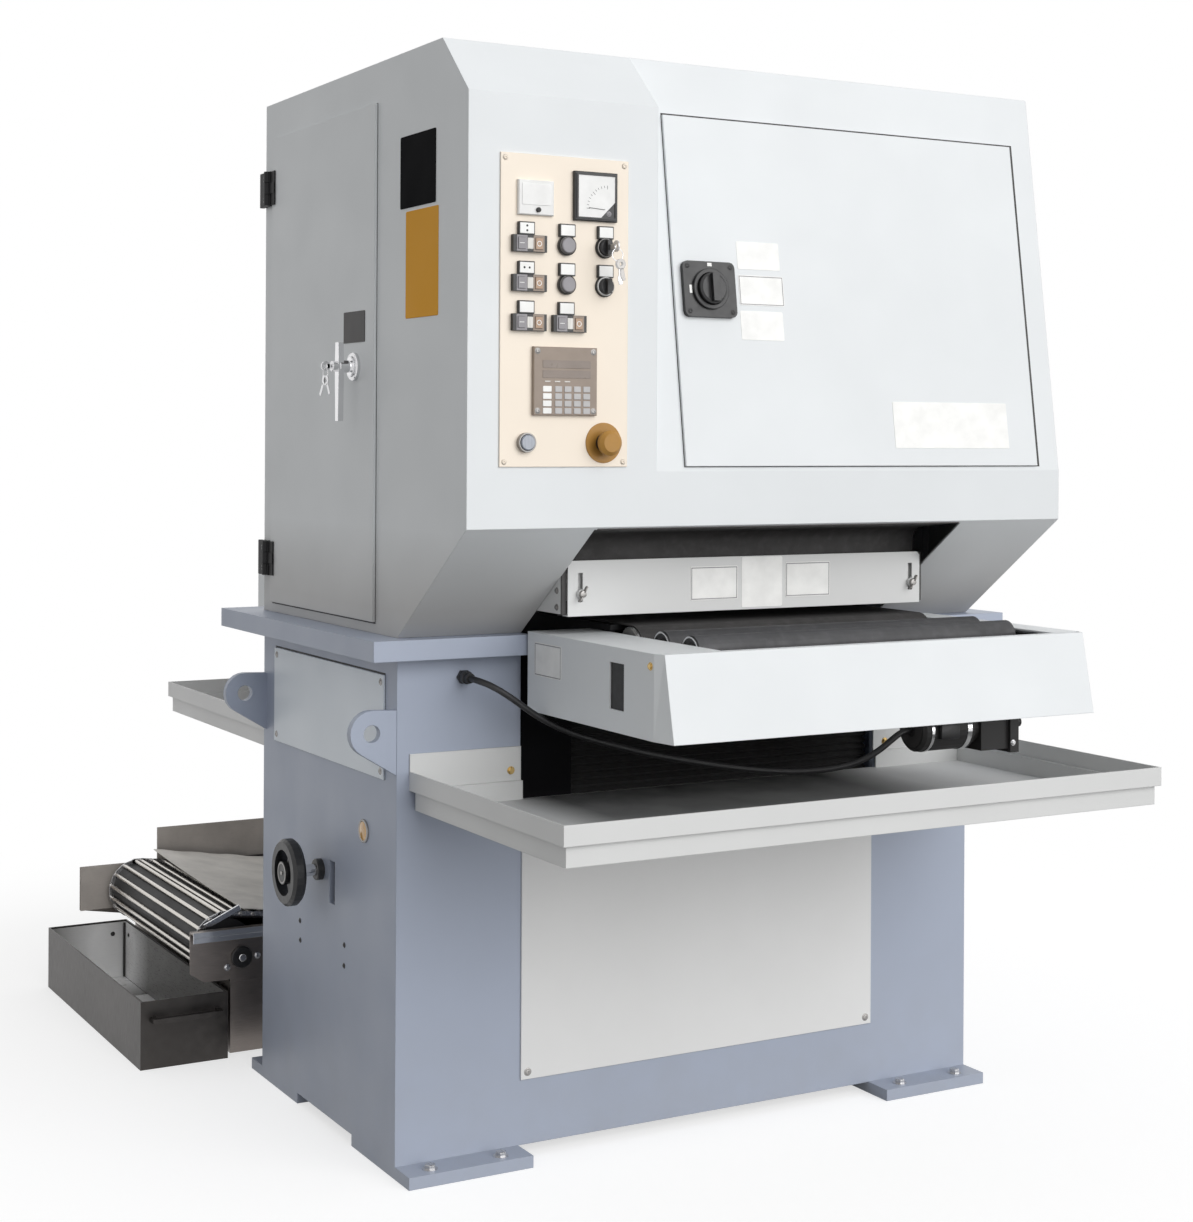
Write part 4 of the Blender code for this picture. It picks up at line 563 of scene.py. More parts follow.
SLUDGE = place_of("sludge_box")
# the sludge box's far right corner, about which a highlight is painted into the lining
LINING_HIGHLIGHT_CORNER = (HOME.x + SLUDGE.x[1], HOME.y + SLUDGE.y[1])
PAINT = {
    "base": painted("base_enamel", (0.395, 0.44, 0.54), 0.4, dirt=0.2),
    # painted shade greys the hood below 1.1 m
    "hood": painted("hood_enamel", (0.775, 0.8, 0.815), 0.38, shine=0.4, low_shade=(0.96, 1.1, 0.62)),
    "skirt": painted("skirt_enamel", (0.79, 0.815, 0.83), 0.38, shine=0.4),
    "tray": painted("tray_enamel", (0.705, 0.71, 0.705), 0.36),
    "cover": painted("cover_enamel", (0.81, 0.81, 0.805), 0.38),
    "side_cover": painted("side_cover_enamel", (0.85, 0.91, 0.97), 0.38),
    "motor": painted("motor_enamel", (0.03, 0.029, 0.029), 0.46, shine=0.3),
    # painted shade on the front tray's floor under the table
    "under_table_shade": under_table_shade("tray_painted_shade", (0.705, 0.71, 0.705), (0.05, 0.05, 0.05)),
    "cream": painted("cream_enamel", (0.93, 0.83, 0.705), 0.42, peel=0.05),
    "black": plastic("black_plastic", (0.014, 0.014, 0.015), 0.38),
    "black_paint": painted("black_enamel", (0.014, 0.014, 0.015), 0.5, shine=0.25),
    "grey": plastic("grey_plastic", (0.3, 0.288, 0.305), 0.46),
    "taupe": plastic("keypad_face", (0.3, 0.24, 0.195), 0.46, 0.05),
    "white": plastic("white_plastic", (0.8, 0.8, 0.79), 0.32, 0.04),
    "red": plastic("stop_red", (0.45, 0.3, 0.205), 0.42),
    "pad_window": plastic("keypad_window", (0.225, 0.18, 0.15), 0.3, 0.02),
    "pad_key": plastic("keypad_key", (0.52, 0.51, 0.51), 0.46, 0.04),
    "orange": painted("orange_label", (0.88, 0.43, 0.052), 0.6, shine=0.1),
    "dull": painted("dull_black", (0.008, 0.008, 0.009), 0.7, shine=0.02),
    "amber": plastic("amber_plastic", (0.4, 0.2, 0.03), 0.46),
    "blue": lens("blue_lens", (0.27, 0.3, 0.36)),
    "clear": lens("clear_lens", (0.62, 0.6, 0.56)),
    "oil": lens("oil_glass", (0.78, 0.4, 0.06), 0.2),
    "steel": metal("ground_steel", (0.52, 0.52, 0.53), 0.28, (500.0, 40.0, 40.0)),
    "bright": metal("bright_steel", (0.72, 0.72, 0.73), 0.18, (60.0, 60.0, 60.0), streak=0.04),
    "chrome": metal("chrome_plate", (0.8, 0.8, 0.81), 0.08, (20.0, 20.0, 20.0), streak=0.02, depth=0.01),
    "stainless": metal("brushed_stainless", (0.28, 0.25, 0.232), 0.36, (40.0, 40.0, 900.0), streak=0.12),
    "box": metal("dark_stainless", (0.07, 0.065, 0.062), 0.38, (40.0, 900.0, 40.0), streak=0.12),
    "mirror": metal("bright_stainless", (0.78, 0.79, 0.81), 0.16, (60.0, 60.0, 900.0), streak=0.06),
    "rod": metal("rod_steel", (0.64, 0.61, 0.57), 0.24, (300.0, 60.0, 300.0), streak=0.06),
    "brass": metal("brass", (0.62, 0.44, 0.18), 0.3, (90.0, 90.0, 90.0)),
    "belt": rubber("belt_cover", (0.034, 0.032, 0.032), 0.72, weave=0.0022),
    "roller": rubber("roller_cover", (0.045, 0.045, 0.048), 0.6),
    "cable": rubber("cable_sheath", (0.012, 0.012, 0.013), 0.45),
    "curtain": rubber("curtain_rubber", (0.042, 0.04, 0.04), 0.66),
    "bellows": rubber("bellows_cloth", (0.01, 0.01, 0.01), 0.8),
    "grit": grit("abrasive_grit", (0.16, 0.07, 0.035)),
    "fleece": cloth("filter_fleece", (0.93, 0.9, 0.85)),
    "vinyl": plastic("blank_label", (0.92, 0.92, 0.9), 0.4, 0.03),
    "ink": plastic("printing_ink", (0.016, 0.016, 0.017), 0.6, 0.02),
    "dial": plastic("dial_paper", (0.9, 0.9, 0.89), 0.55, 0.02),
    "dark_plate": painted("dark_plate", (0.06, 0.057, 0.057), 0.5, shine=0.3),
    "zinc": metal("dull_zinc", (0.33, 0.32, 0.31), 0.42, (90.0, 90.0, 90.0)),
    "lining": lining("lining_painted_highlight", (0.25, 0.245, 0.24), LINING_HIGHLIGHT_CORNER),
    # near white, for the painted highlight at the foot of the sludge box's wall
    "strip": lining("painted_highlight_strip", (0.96, 0.96, 0.97)),
    "splash": lining("splash_sheet", (0.64, 0.59, 0.545)),
}

CARRIED = {
    "base": ["base_frame", "sanding_frame", "main_motor"],
    "hood": ["cabinet_shell", "left_door", "drive_side_cover", "front_door"],
    "skirt": ["front_skirt", "rear_skirt"],
    "tray": ["front_tray", "guard_bracket", "guard_plate"],
    "cover": ["front_cover", "rear_tray"],
    "side_cover": ["left_cover"],
    "cream": ["control_panel"],
    "black": ["ammeter", "switch_plate", "switch_knob", "key_switch", "selector_switch", "cable_gland",
              "handwheel"],
    "taupe": ["keypad"],
    "white": ["load_meter"],
    "grey": [f"start_button_{i}" for i in range(1, 5)] + ["jog_button_up", "jog_button_down"],
    "red": [f"stop_button_{i}" for i in range(1, 5)],
    "blue": ["reset_button"],
    "amber": ["emergency_stop"],
    "chrome": ["left_handle"],
    "steel": ["drive_roller", "tail_roller", "tension_roller", "tension_yoke", "motor_pulley"]
             + [f"lift_screw_{i}" for i in range(1, 5)],
    "black_paint": ["table_frame", "filter_head_roller", "filter_belt"],
    "motor": ["gear_motor"],
    "roller": ["infeed_roller_front", "infeed_roller_rear"],
    "stainless": ["filter_tank"],
    "box": ["sludge_box"],
    "belt": ["conveyor_belt", "contact_drum", "v_belt"],
    "grit": ["abrasive_belt"],
    "cable": ["conveyor_cable"],
}
for key, names in CARRIED.items():
    for name in names:
        NODES[name].data.materials.clear()
        NODES[name].data.materials.append(PAINT[key])


# ---------------------------------------------------------------- control panel
CAP_GAP = 0.0004  # round a button's cap


def station(number, panel):
    """A twin push-button: housing with windows for both caps, a lens and the printed signs."""
    start, stop = place_of(f"start_button_{number}"), place_of(f"stop_button_{number}")
    u = (start.x[0] - 0.0085, stop.x[1] + 0.0085)
    v = within(start.z, -0.0045)
    middle = (start.middle().x + stop.middle().x) / 2
    holes = [(within(cap.x, -CAP_GAP), within(cap.z, -CAP_GAP)) for cap in (start, stop)]
    lens_at = (about(middle, 0.0052), start.z)
    put(f"station_housing_{number}", pierced(u, v, (0.0, 0.0086), [*holes, lens_at]), "black", panel, smooth=False)
    band = within(start.z, -0.0038)
    for side, hole, across, colour in (("left", holes[0], (start.x[0] - 0.0026, middle - 0.0054), "grey"),
                                       ("right", holes[1], (middle + 0.0054, stop.x[1] + 0.0036), "taupe")):
        shape = pierced(across, band, (0.0086, 0.0091), [hole])
        put(f"station_surround_{side}_{number}", shape, colour, panel, smooth=False)
    put(f"station_lens_{number}", plate(*lens_at, (0.0, 0.0096), 0.0008), "clear", panel)
    cap_front = front_at(start.y[0])
    z = start.middle().z
    dash = slab(about(start.middle().x, 0.0042), about(z, 0.0006), PRINT, 0)
    put(f"start_sign_{number}", dash, "vinyl", cap_front, f"start_button_{number}", smooth=False)
    circle = ring((stop.middle().x, z), 0.0032, 0.0044, PRINT, 0.00005)
    put(f"stop_sign_{number}", circle, "vinyl", cap_front, f"stop_button_{number}")


def legend(name, u, v, panel, dots=()):
    """A legend plate in its black holder over a control."""
    holder = plate(about(u, 0.0145), about(v, 0.0105), (0.0, 0.0065), 0.0012, 0.0006)
    put(f"legend_holder_{name}", holder, "black", panel)
    card = plate(about(u, 0.0125), about(v, 0.0085), (0.0065, 0.0072), 0.0008, 0.0002)
    put(f"legend_card_{name}", card, "vinyl", panel)
    if dots:
        marks = merged(*[turned((u + du, v + dv), [(0.0018, 0.0072), (0.0018, 0.0074)], SMALL) for du, dv in dots])
        put(f"legend_dots_{name}", marks, "ink", panel, smooth=False)


def bezel(name, node, panel, inner, outer, height, colour):
    """A ring round a control."""
    middle = place_of(node).middle()
    put(name, ring((middle.x, middle.z), inner, outer, (0.0, height), 0.0008), colour, panel)


def control_panel():
    """Everything that stands on the cream panel."""
    plate_box = place_of("control_panel")
    panel = front_at(plate_box.y[0])
    screws = [screw(spot, 0.0032, 0.0, 0.0014) for spot in corners(plate_box.x, plate_box.z, 0.008)]
    put("panel_screws", screws, "cream", panel)
    for number in range(1, 5):
        station(number, panel)
    columns = [place_of(node).middle().x for node in ("start_button_1", "jog_button_up", "key_switch")]
    columns[0] += 0.0105
    rows = [place_of(node).middle().z for node in ("jog_button_up", "jog_button_down")]
    low_row = place_of("start_button_3").middle().z
    rise = 0.0245
    colon = ((0.0, 0.0038), (0.0, -0.0038))
    pair = ((-0.0046, 0.0), (0.0046, 0.0))
    for row, (z, dots) in enumerate(zip(rows, (colon, pair)), 1):
        legend(f"station_{row}", columns[0], z + rise, panel, dots)
        legend(f"jog_{row}", columns[1], z + rise, panel)
        legend(f"switch_{row}", columns[2], z + rise, panel)
    legend("station_3", columns[0], low_row + rise, panel)
    legend("station_4", place_of("start_button_4").middle().x + 0.0105, low_row + rise, panel)
    for node, z in zip(("jog_button_up", "jog_button_down"), rows):
        bezel(f"{node}_bezel", node, panel, 0.0129, 0.0143, 0.0088, "zinc")
        bezel(f"{node}_collar", node, panel, 0.0145, 0.016, 0.007, "black")
    for node in ("key_switch", "selector_switch"):
        bezel(f"{node}_bezel", node, panel, 0.0134, 0.0154, 0.0072, "white" if node[0] == "s" else "zinc")
        bezel(f"{node}_collar", node, panel, 0.016, 0.0172, 0.0045, "black")
    bezel("reset_bezel", "reset_button", panel, 0.0129, 0.0158, 0.0092, "zinc")
    stop = place_of("emergency_stop").middle()
    put("emergency_ring", ring((stop.x, stop.z), 0.0125, 0.033, (0.0, 0.0016), 0.0005, 48), "amber", panel)
    put("emergency_collar", ring((stop.x, stop.z), 0.0118, 0.015, (0.0016, 0.0105), 0.0008), "black", panel)
    keys()
    meters()
    keypad()


def keys():
    """The key in the switch, with two more on the ring."""
    node = place_of("key_switch")
    x, z = node.middle().x, node.middle().z
    out = node.y[0]
    bow = merged(slab(about(x, 0.0012), (out - 0.012, out + 0.001), about(z, 0.0045), 0.0003),
                 moved(ring((out - 0.02, z), 0.0035, 0.0095, (-0.0012, 0.0012), 0.0004, MEDIUM), right_at(x)))
    put("key", bow, "steel", body="key_switch")
    loop_at = Vector((x + 0.001, out - 0.022, z - 0.008))
    loop = [loop_at + Vector((0.01 * math.sin(a), 0.0, -0.01 + 0.01 * math.cos(a) + 0.004)) for a in ROUND_ANGLES]
    put("key_ring", tube(loop, 0.0008, 8, closed=True), "bright", body="key_switch")
    for number, (lean, drop) in enumerate(((0.04, 0.04), (0.2, 0.034)), 1):
        at = loop_at + Vector((0.004, -0.001 * number, -0.014))
        hang = Matrix.Translation(at) @ Matrix.Rotation(-lean, 4, "Y")
        blade = merged(moved(ring((0, -0.007), 0.003, 0.0085, (-0.0009, 0.0009), 0.0003, MEDIUM), front_at(0)),
                       slab((-0.0032, 0.0032), (-0.0009, 0.0009), (-drop, -0.014), 0.0003),
                       slab((-0.0046, 0.0), (-0.0008, 0.0008), (-drop + 0.004, -drop + 0.014), 0.0002))
        put(f"spare_key_{number}", blade, "zinc" if number == 2 else "steel", hang, "key_switch")


def meters():
    """Faces of the two instruments."""
    meter = place_of("ammeter")
    front = front_at(meter.y[0])
    u, v = (meter.x[0] + 0.0065, meter.x[1] - 0.0055), within(meter.z, 0.006)
    corner = 0.026
    outline = [(u[0], v[0]), (u[1] - corner, v[0]), (u[1], v[0] + corner), (u[1], v[1]), (u[0], v[1])]
    put("ammeter_dial", raised(outline, (0.0, 0.0006)), "dial", front, smooth=False)
    hub = (u[1] - 0.013, v[0] + 0.013)
    radius = 0.04
    marks = []
    for i in range(11):
        angle = math.radians(92 + 86 * i / 10)
        inner = radius - (0.006 if i % 5 == 0 else 0.0035)
        tick = slab((inner, radius), (-0.0003, 0.0003), (0.0006, 0.0008), 0)
        marks.append(moved(tick, Matrix.Translation((*hub, 0)) @ Matrix.Rotation(angle, 4, "Z")))
    needle = slab((0.006, radius - 0.004), (-0.0004, 0.0004), (0.001, 0.0014), 0)
    marks.append(moved(needle, Matrix.Translation((*hub, 0)) @ Matrix.Rotation(math.radians(176), 4, "Z")))
    put("ammeter_scale", marks, "ink", front, smooth=False)
    put("ammeter_adjuster", screw((hub[0] + 0.002, hub[1] - 0.006), 0.003, 0.0, 0.0012), "grey", front)
    rim = pierced(within(meter.x, 0.0035), within(meter.z, 0.0035), (-0.0002, 0.0016), [(u, v)])
    put("ammeter_rim", rim, "black", front, smooth=False)
    load = place_of("load_meter")
    front = front_at(load.y[0])
    face_plate = plate(within(load.x, 0.006), (load.z[0] + 0.016, load.z[1] - 0.006), (0.0, 0.0008), 0.002)
    put("load_meter_window", face_plate, "dial", front)
    knob = turned((load.middle().x + 0.003, load.z[0] + 0.0085), [(0.004, 0.0), (0.004, 0.003), (0.0034, 0.0038)],
                  MEDIUM)
    put("load_meter_knob", knob, "ink", front)


def keypad():
    """Keys, display windows and corner screws of the key pad."""
    pad = place_of("keypad")
    front = front_at(pad.y[0])
    x0, x1, z0, z1 = *pad.x, *pad.z
    put("keypad_screws", [screw(spot, 0.0034, 0.0, 0.0016) for spot in corners(pad.x, pad.z, 0.007)], "zinc", front)
    windows = [plate((x0 + 0.016, x1 - 0.012), (z, z + 0.0125), LABEL, 0.0015, 0.0002)
               for z in (z1 - 0.034, z1 - 0.05)]
    put("keypad_display", windows, "pad_window", front)
    lamps = [plate((x0 + 0.02 + i * 0.018, x0 + 0.03 + i * 0.018), (z0 + 0.0535, z0 + 0.0555), LABEL, 0.0006,
                   0.0001) for i in range(3)]
    put("keypad_lamps", lamps, "clear", front)
    tops = [z0 + 0.047 - i * 0.0117 for i in range(4)]
    light = [plate((x0 + 0.0165, x0 + 0.032), (z - 0.0092, z), (0.0, 0.0009), 0.0012, 0.0002) for z in tops]
    put("keypad_function_keys", light, "vinyl", front)
    plain = [plate((x0 + 0.0385 + i * 0.0172, x0 + 0.051 + i * 0.0172), (z - 0.0092, z), (0.0, 0.0009), 0.0012,
                   0.0002) for i in range(4) for z in tops]
    put("keypad_keys", plain, "pad_key", front)


# ---------------------------------------------------------------- hood
def hood_details():
    """Blank plates, dark gap strips with painted shadow, hinges and lock on the hood and its doors."""
    side = left_at(0.0)
    put("side_nameplate", plate((-0.146, -0.005), (1.637, 1.758), (0.0, 0.0012), 0.003), "dull", side)
    put("side_label", plate((-0.157, -0.028), (1.452, 1.631), (0.0, 0.0008), 0.003), "orange", side)
    door = place_of("left_door")
    door_face = left_at(door.x[0])
    put("door_patch", plate((0.134, 0.23), (1.42, 1.475), (0.0, 0.001), 0.002), "dark_plate", door_face,
        "left_door")
    # wider at the foot: painted shadow under the door
    gap_and_shadow_strip("left_door_gap_and_shadow", door.y, door.z, side, (0.0012, 0.0012, 0.0034, 0.0012))
    hinges(door)
    handle_lock(door_face)
    front = place_of("front_door")
    s = (up_slope(1.207), up_slope(1.805))
    # the wider right and top edges are painted shadow
    gap_and_shadow_strip("front_door_gap_and_shadow", front.x, s, SLOPE, (0.0012, 0.009, 0.0012, 0.0042))
    front_labels()


def gap_and_shadow_strip(name, u, v, where, out=(0.0012, 0.0012, 0.0012, 0.0012)):
    """A dark strip that shows round a door or cover as its gap, and, where it stands out wider, as painted shadow:
    how far it shows at its left, right, foot and top.
    """
    inn = 0.016
    strip = pierced((u[0] - out[0], u[1] + out[1]), (v[0] - out[2], v[1] + out[3]), (0.00002, 0.00042),
                    [(within(u, inn), within(v, inn))])
    put(name, strip, "curtain", where, smooth=False)


def hinges(door):
    """Two black block hinges at the door's rear edge."""
    rear, skin = door.y[1], door.x[0] - 0.0001
    axis = (-0.011, rear + 0.012)

    def knuckle(low, high, soft=0.0006):
        profile = [(0.0062, low), (0.0068, low + soft), (0.0068, high - soft), (0.0062, high)]
        return turned(axis, profile, MEDIUM)

    for number, z in enumerate((1.018, 1.735), 1):
        leaf = slab((-0.0092, -0.0002), (rear + 0.0035, rear + 0.0585), about(z, 0.0335), 0.0008)
        ends = [knuckle(a, b) for a, b in ((z - 0.033, z - 0.0115), (z + 0.0115, z + 0.033))]
        put(f"hinge_leaf_{number}", [leaf, *ends], "black_paint")
        screws = [screw((rear + 0.034, z + dz), 0.004, 0.0, 0.0012) for dz in (-0.02, 0.02)]
        put(f"hinge_screws_{number}", screws, "black", left_at(-0.0092))
        flap = slab((-0.0095, skin), (rear - 0.019, rear + 0.006), about(z, 0.0105), 0.0006)
        wide = slab((-0.0085, skin), (rear - 0.019, rear - 0.002), about(z, 0.033), 0.0006)
        put(f"hinge_flap_{number}", [flap, knuckle(z - 0.0112, z + 0.0112), wide], "black_paint", body="left_door")


def handle_lock(door_face):
    """The rose of the swing handle, its lock barrel and the keys that hang from it."""
    handle = place_of("left_handle")
    y, z = handle.middle().y, 1.3775
    put("handle_rose", ring((y, z), 0.0174, 0.025, (0.0, 0.007), 0.0015), "bright", door_face, "left_door")
    out = left_at(handle.x[0])
    barrel = turned((y, z), [(0.0095, -0.0005), (0.0095, 0.009), (0.0085, 0.01), (0.003, 0.01), (0.0028, 0.008)],
                    MEDIUM)
    put("handle_lock", barrel, "bright", out, "left_handle")
    bow_x = handle.x[0] - 0.019
    bow = merged(slab((bow_x, handle.x[0] - 0.008), about(y, 0.0011), about(z, 0.004), 0.0003),
                 moved(ring((bow_x - 0.002, z), 0.0032, 0.0085, (-0.0011, 0.0011), 0.0004, MEDIUM), front_at(y)))
    put("handle_key", bow, "bright", body="left_handle")
    ring_at = Vector((bow_x - 0.002, y, z - 0.014))
    loop = [ring_at + Vector((0.0, 0.011 * math.sin(a), 0.011 * math.cos(a))) for a in ROUND_ANGLES]
    put("handle_key_ring", tube(loop, 0.0008, 8, closed=True), "bright", body="left_handle")
    for number, (lean, drop) in enumerate(((-0.55, 0.034), (0.62, 0.038)), 1):
        at = ring_at + Vector((0.0, 0.002 * (2 * number - 3), -0.006))
        hang = Matrix.Translation(at) @ Matrix.Rotation(lean, 4, "X")
        blade = merged(moved(ring((0, -0.006), 0.0028, 0.009, (-0.001, 0.001), 0.0003, MEDIUM), left_at(0)),
                       slab((-0.001, 0.001), (-0.0034, 0.0034), (-drop, -0.013), 0.0003))
        put(f"handle_spare_key_{number}", blade, "bright", hang, "left_handle")


def front_labels():
    """Blank labels on the front door, the switch's marks and the blank name strip."""
    out = 0.0055
    door = SLOPE @ Matrix.Translation((0, 0, out))
    labels = (((0.534, 0.6215), (1.545, 1.5935)), ((0.5335, 0.626), (1.4826, 1.535)),
              ((0.5325, 0.6205), (1.4227, 1.473)))
    for number, (u, (low, high)) in enumerate(labels, 1):
        sticker(f"door_label_{number}", u, (up_slope(low), up_slope(high)), door, "front_door",
                0.0014 if number == 2 else 0.0)
    strip = plate((0.842, 1.1015), (up_slope(1.238), up_slope(1.3205)), (0.0, 0.0006), 0.002, 0.0002)
    put("name_strip", strip, "vinyl", door, "front_door")
    face_out = out + 2 * FIT + 0.008
    middle = (0.47, up_slope(1.506))
    sign = SLOPE @ Matrix.Translation((0, 0, face_out))
    marks = [slab((middle[0] + a, middle[0] + b), (middle[1] + c, middle[1] + d), PRINT, 0)
             for a, b, c, d in ((-0.003, 0.006, 0.0395, 0.0455), (-0.0415, -0.0365, -0.008, 0.006))]
    put("switch_marks", marks, "vinyl", sign, "front_door", smooth=False)
    screws = [screw((middle[0] + du, middle[1] + dv), 0.003, 0.0, 0.0012) for du in (-0.043, 0.043)
              for dv in (-0.039, 0.039)]
    put("switch_screws", screws, "black", sign, "front_door")
    put("switch_dial", ring(middle, 0.0275, 0.0355, (0.0, 0.005), 0.0012), "black", sign, "front_door")


# ---------------------------------------------------------------- guard, throat and passage
def sticker(name, u, v, where, body, frame_line=0.0):
    """A blank label, with a thin printed line round it if asked."""
    put(name, plate(u, v, LABEL, 0.003, 0.0002), "vinyl", where, body)
    if frame_line:
        hole = [(within(u, 2 * frame_line), within(v, 2 * frame_line))]
        line = pierced(within(u, frame_line), within(v, frame_line), (0.00045, 0.0006), hole)
        put(f"{name}_line", line, "grey", where, body, smooth=False)


def wing_nut(centre):
    """A wing nut: a hub with two ears."""
    u, v = centre
    hub = turned(centre, [(0.0065, 0.0), (0.0058, 0.006), (0.0032, 0.0065)], 20)
    ears = []
    for turn in (60, 240):
        ear = raised(rounded((0.003, 0.015), (-0.004, 0.004), 0.003), (-0.001, 0.001), 0.0003)
        moved(ear, Matrix.Translation((0, 0, 0.0045)) @ Matrix.Rotation(math.radians(90), 4, "X"))
        ears.append(moved(ear, Matrix.Translation((u, v, 0)) @ Matrix.Rotation(math.radians(turn), 4, "Z")))
    return merged(hub, *ears)


def guard_details():
    """Blank labels and wing nuts on the guard plate, and bolts on its bracket."""
    guard = place_of("guard_plate")
    front = front_at(guard.y[0])
    low, high = guard.z
    sticker("guard_label_left", (0.486, 0.584), (low + 0.019, high - 0.016), front, "guard_plate", 0.0016)
    sticker("guard_label_middle", (0.592, 0.678), (low + 0.004, high - 0.0015), front, "guard_plate")
    sticker("guard_label_right", (0.685, 0.782), (low + 0.019, high - 0.013), front, "guard_plate", 0.0016)
    heads = front_at(place_of("guard_bracket").y[0])
    bolts = (guard.x[0] + 0.024, guard.x[1] - 0.022)
    for number, x in enumerate(bolts, 1):
        put(f"guard_wing_nut_{number}", wing_nut((x, 0.991)), "zinc", heads)
    bracket = place_of("guard_bracket")
    marks = [bolt((-0.132, z), 0.0042, 0.0, 0.003) for z in (0.968, 0.996)]
    put("guard_bracket_bolts", marks, "zinc", left_at(bracket.x[0]))
    gaps = ((bracket.x[0] + 0.0001, guard.x[0] - 0.0004), (guard.x[1] + 0.0004, bracket.x[1] - 0.0001))
    put("guard_seals", [slab(x, (-0.1482, -0.145), (0.956, 1.046), 0.0004) for x in gaps], "curtain")


def hung(x, line, thickness):
    """A sheet that keeps its line of (y, z) places all along x."""
    shape = bmesh.new()
    rows = [[shape.verts.new((at, y, z)) for at in x] for y, z in line]
    for a, b in zip(rows, rows[1:]):
        stitch(shape, a, b, closed=False)
    thick(shape, thickness)
    return shape


def throat_flap():
    """The rubber flap that hangs from the hood's lip behind the guard."""
    x = within(place_of("guard_bracket").x, 0.0045)
    line = [(-0.256, 1.107), (-0.235, 1.1035), (-0.19, 1.099), (-0.15, 1.0945), (-0.134, 1.087), (-0.1265, 1.074),
            (-0.125, 1.05), (-0.125, 0.9535)]
    put("throat_flap", hung(x, line, 0.0022), "curtain")
    put("throat_flap_strip", slab(x, (-0.264, -0.256), (1.1035, 1.1075), 0.0005), "dark_plate")


def thick(shape, amount):
    """Gives an open surface a thickness."""
    bmesh.ops.recalc_face_normals(shape, faces=shape.faces)
    bmesh.ops.solidify(shape, geom=shape.faces[:], thickness=amount)


def passage_bellows():
    """Pleated bellows under the feed table and fixed flaps beside it, at the front and the back."""
    x, sill, top, folds = (0.2355, 0.9915), 0.6035, 0.796, 30
    for name, y, out in (("front", 0.013, 1.0), ("rear", 0.632, -1.0)):
        line = [(y + out * (0.006 if i % 2 else 0.015), sill + (top - sill) * i / folds) for i in range(folds + 1)]
        made = put(f"passage_bellows_{name}", hung(x, line, 0.0008), "bellows", body=None)
        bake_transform(made)
        flap = slab((x[0], place_of("table_frame").x[0] - 0.004), (y, y + out * 0.0025), (sill, 0.912), 0.0004)
        put(f"passage_flap_{name}", flap, "dull", smooth=False)


# ---------------------------------------------------------------- feed table
def skirt_details():
    """Label, window plate and screw on the front skirt's left side."""
    skirt = place_of("front_skirt")
    side = left_at(skirt.x[0])
    sticker("skirt_label", (-0.168, -0.072), (0.848, 0.905), side, "feed_table", 0.0016)
    glass = slab((skirt.x[0] + 0.0034, skirt.x[0] + 0.005), (-0.386, -0.324), (0.813, 0.903), 0.0003)
    put("skirt_window", glass, "ink", body="feed_table", smooth=False)
    put("skirt_screw", bolt((-0.46, 0.901), 0.0048, 0.0, 0.0034), "brass", side, "feed_table")
    right = right_at(skirt.x[1])
    put("skirt_screw_right", bolt((-0.46, 0.901), 0.0048, 0.0, 0.0034), "brass", right, "feed_table")


def roller_ends():
    """Discs on the ends of the feed table's rollers."""
    for node in ("infeed_roller_front", "infeed_roller_rear"):
        middle = place_of(node).middle()
        end = (middle.y, middle.z)
        put(f"{node}_cap", ring(end, 0.0108, 0.0262, (0.0, 0.0016), 0.0005), "black", left_at(0.3576), node)
        put(f"{node}_rim", ring(end, 0.0225, 0.0255, (0.0016, 0.0022), 0.0002), "bright", left_at(0.3576), node)
        put(f"{node}_bearing", ring(end, 0.0104, 0.015, (0.0, 0.0024), 0.0006), "black", left_at(0.356), node)
    for node in ("drive_roller", "tail_roller"):
        middle = place_of(node).middle()
        disc = ring((middle.y, middle.z), 0.0106, 0.0325, (0.0, 0.003), 0.0012)
        put(f"{node}_cap", disc, "zinc", left_at(0.359), node)


def gear_motor_details():
    """Bands, nose and bolts of the feed motor."""
    motor = place_of("gear_motor")
    axis = (motor.middle().y, 0.751)
    bands = [ring(axis, 0.0378, 0.0392, (motor.x[0] + a, motor.x[0] + b), 0.0004)
             for a, b in ((0.016, 0.022), (0.094, 0.104))]
    put("gear_motor_bands", bands, "chrome", right_at(0.0), "feed_table")
    nose = ring(axis, 0.012, 0.03, (0.0, 0.0004), 0.0002)
    put("gear_motor_end", nose, "dark_plate", left_at(motor.x[0]), "feed_table")
    plug = slab((motor.x[0] + 0.03, motor.x[0] + 0.07), (motor.y[0] - 0.004, motor.y[0] + 0.01), (0.738, 0.764),
                0.002, 2)
    put("gear_motor_box", plug, "black", body="feed_table")
    bolts = [bolt((1.006, z), 0.004, 0.0, 0.003) for z in (0.722, 0.778)]
    put("gear_motor_bolts", bolts, "bright", front_at(motor.y[0]), "feed_table")


CABLE_R = 0.0055
CABLE_DROP = [
    (0.0, -0.0303, 0.0), (0.0, -0.045, -0.0005), (0.004, -0.06, -0.0025),
    (0.013, -0.0735, -0.007), (0.026, -0.0845, -0.0152), (0.043, -0.093, -0.027),
    (0.063, -0.099, -0.042), (0.087, -0.1045, -0.059), (0.115, -0.111, -0.0755),
    (0.148, -0.12, -0.091), (0.187, -0.132, -0.1045),
]
CABLE_SAG = [
    (0.089, -0.1485, -0.118), (0.188, -0.169, -0.131), (0.297, -0.194, -0.142),
    (0.406, -0.221, -0.1515), (0.515, -0.248, -0.158), (0.62, -0.274, -0.1605),
    (0.712, -0.297, -0.1575), (0.788, -0.3155, -0.1495), (0.844, -0.329, -0.1375),
    (0.887, -0.3385, -0.123), (0.92, -0.345, -0.109), (0.948, -0.3485, -0.0985),
    (0.974, -0.35, -0.0935), (1.0, -0.35, -0.092),
]


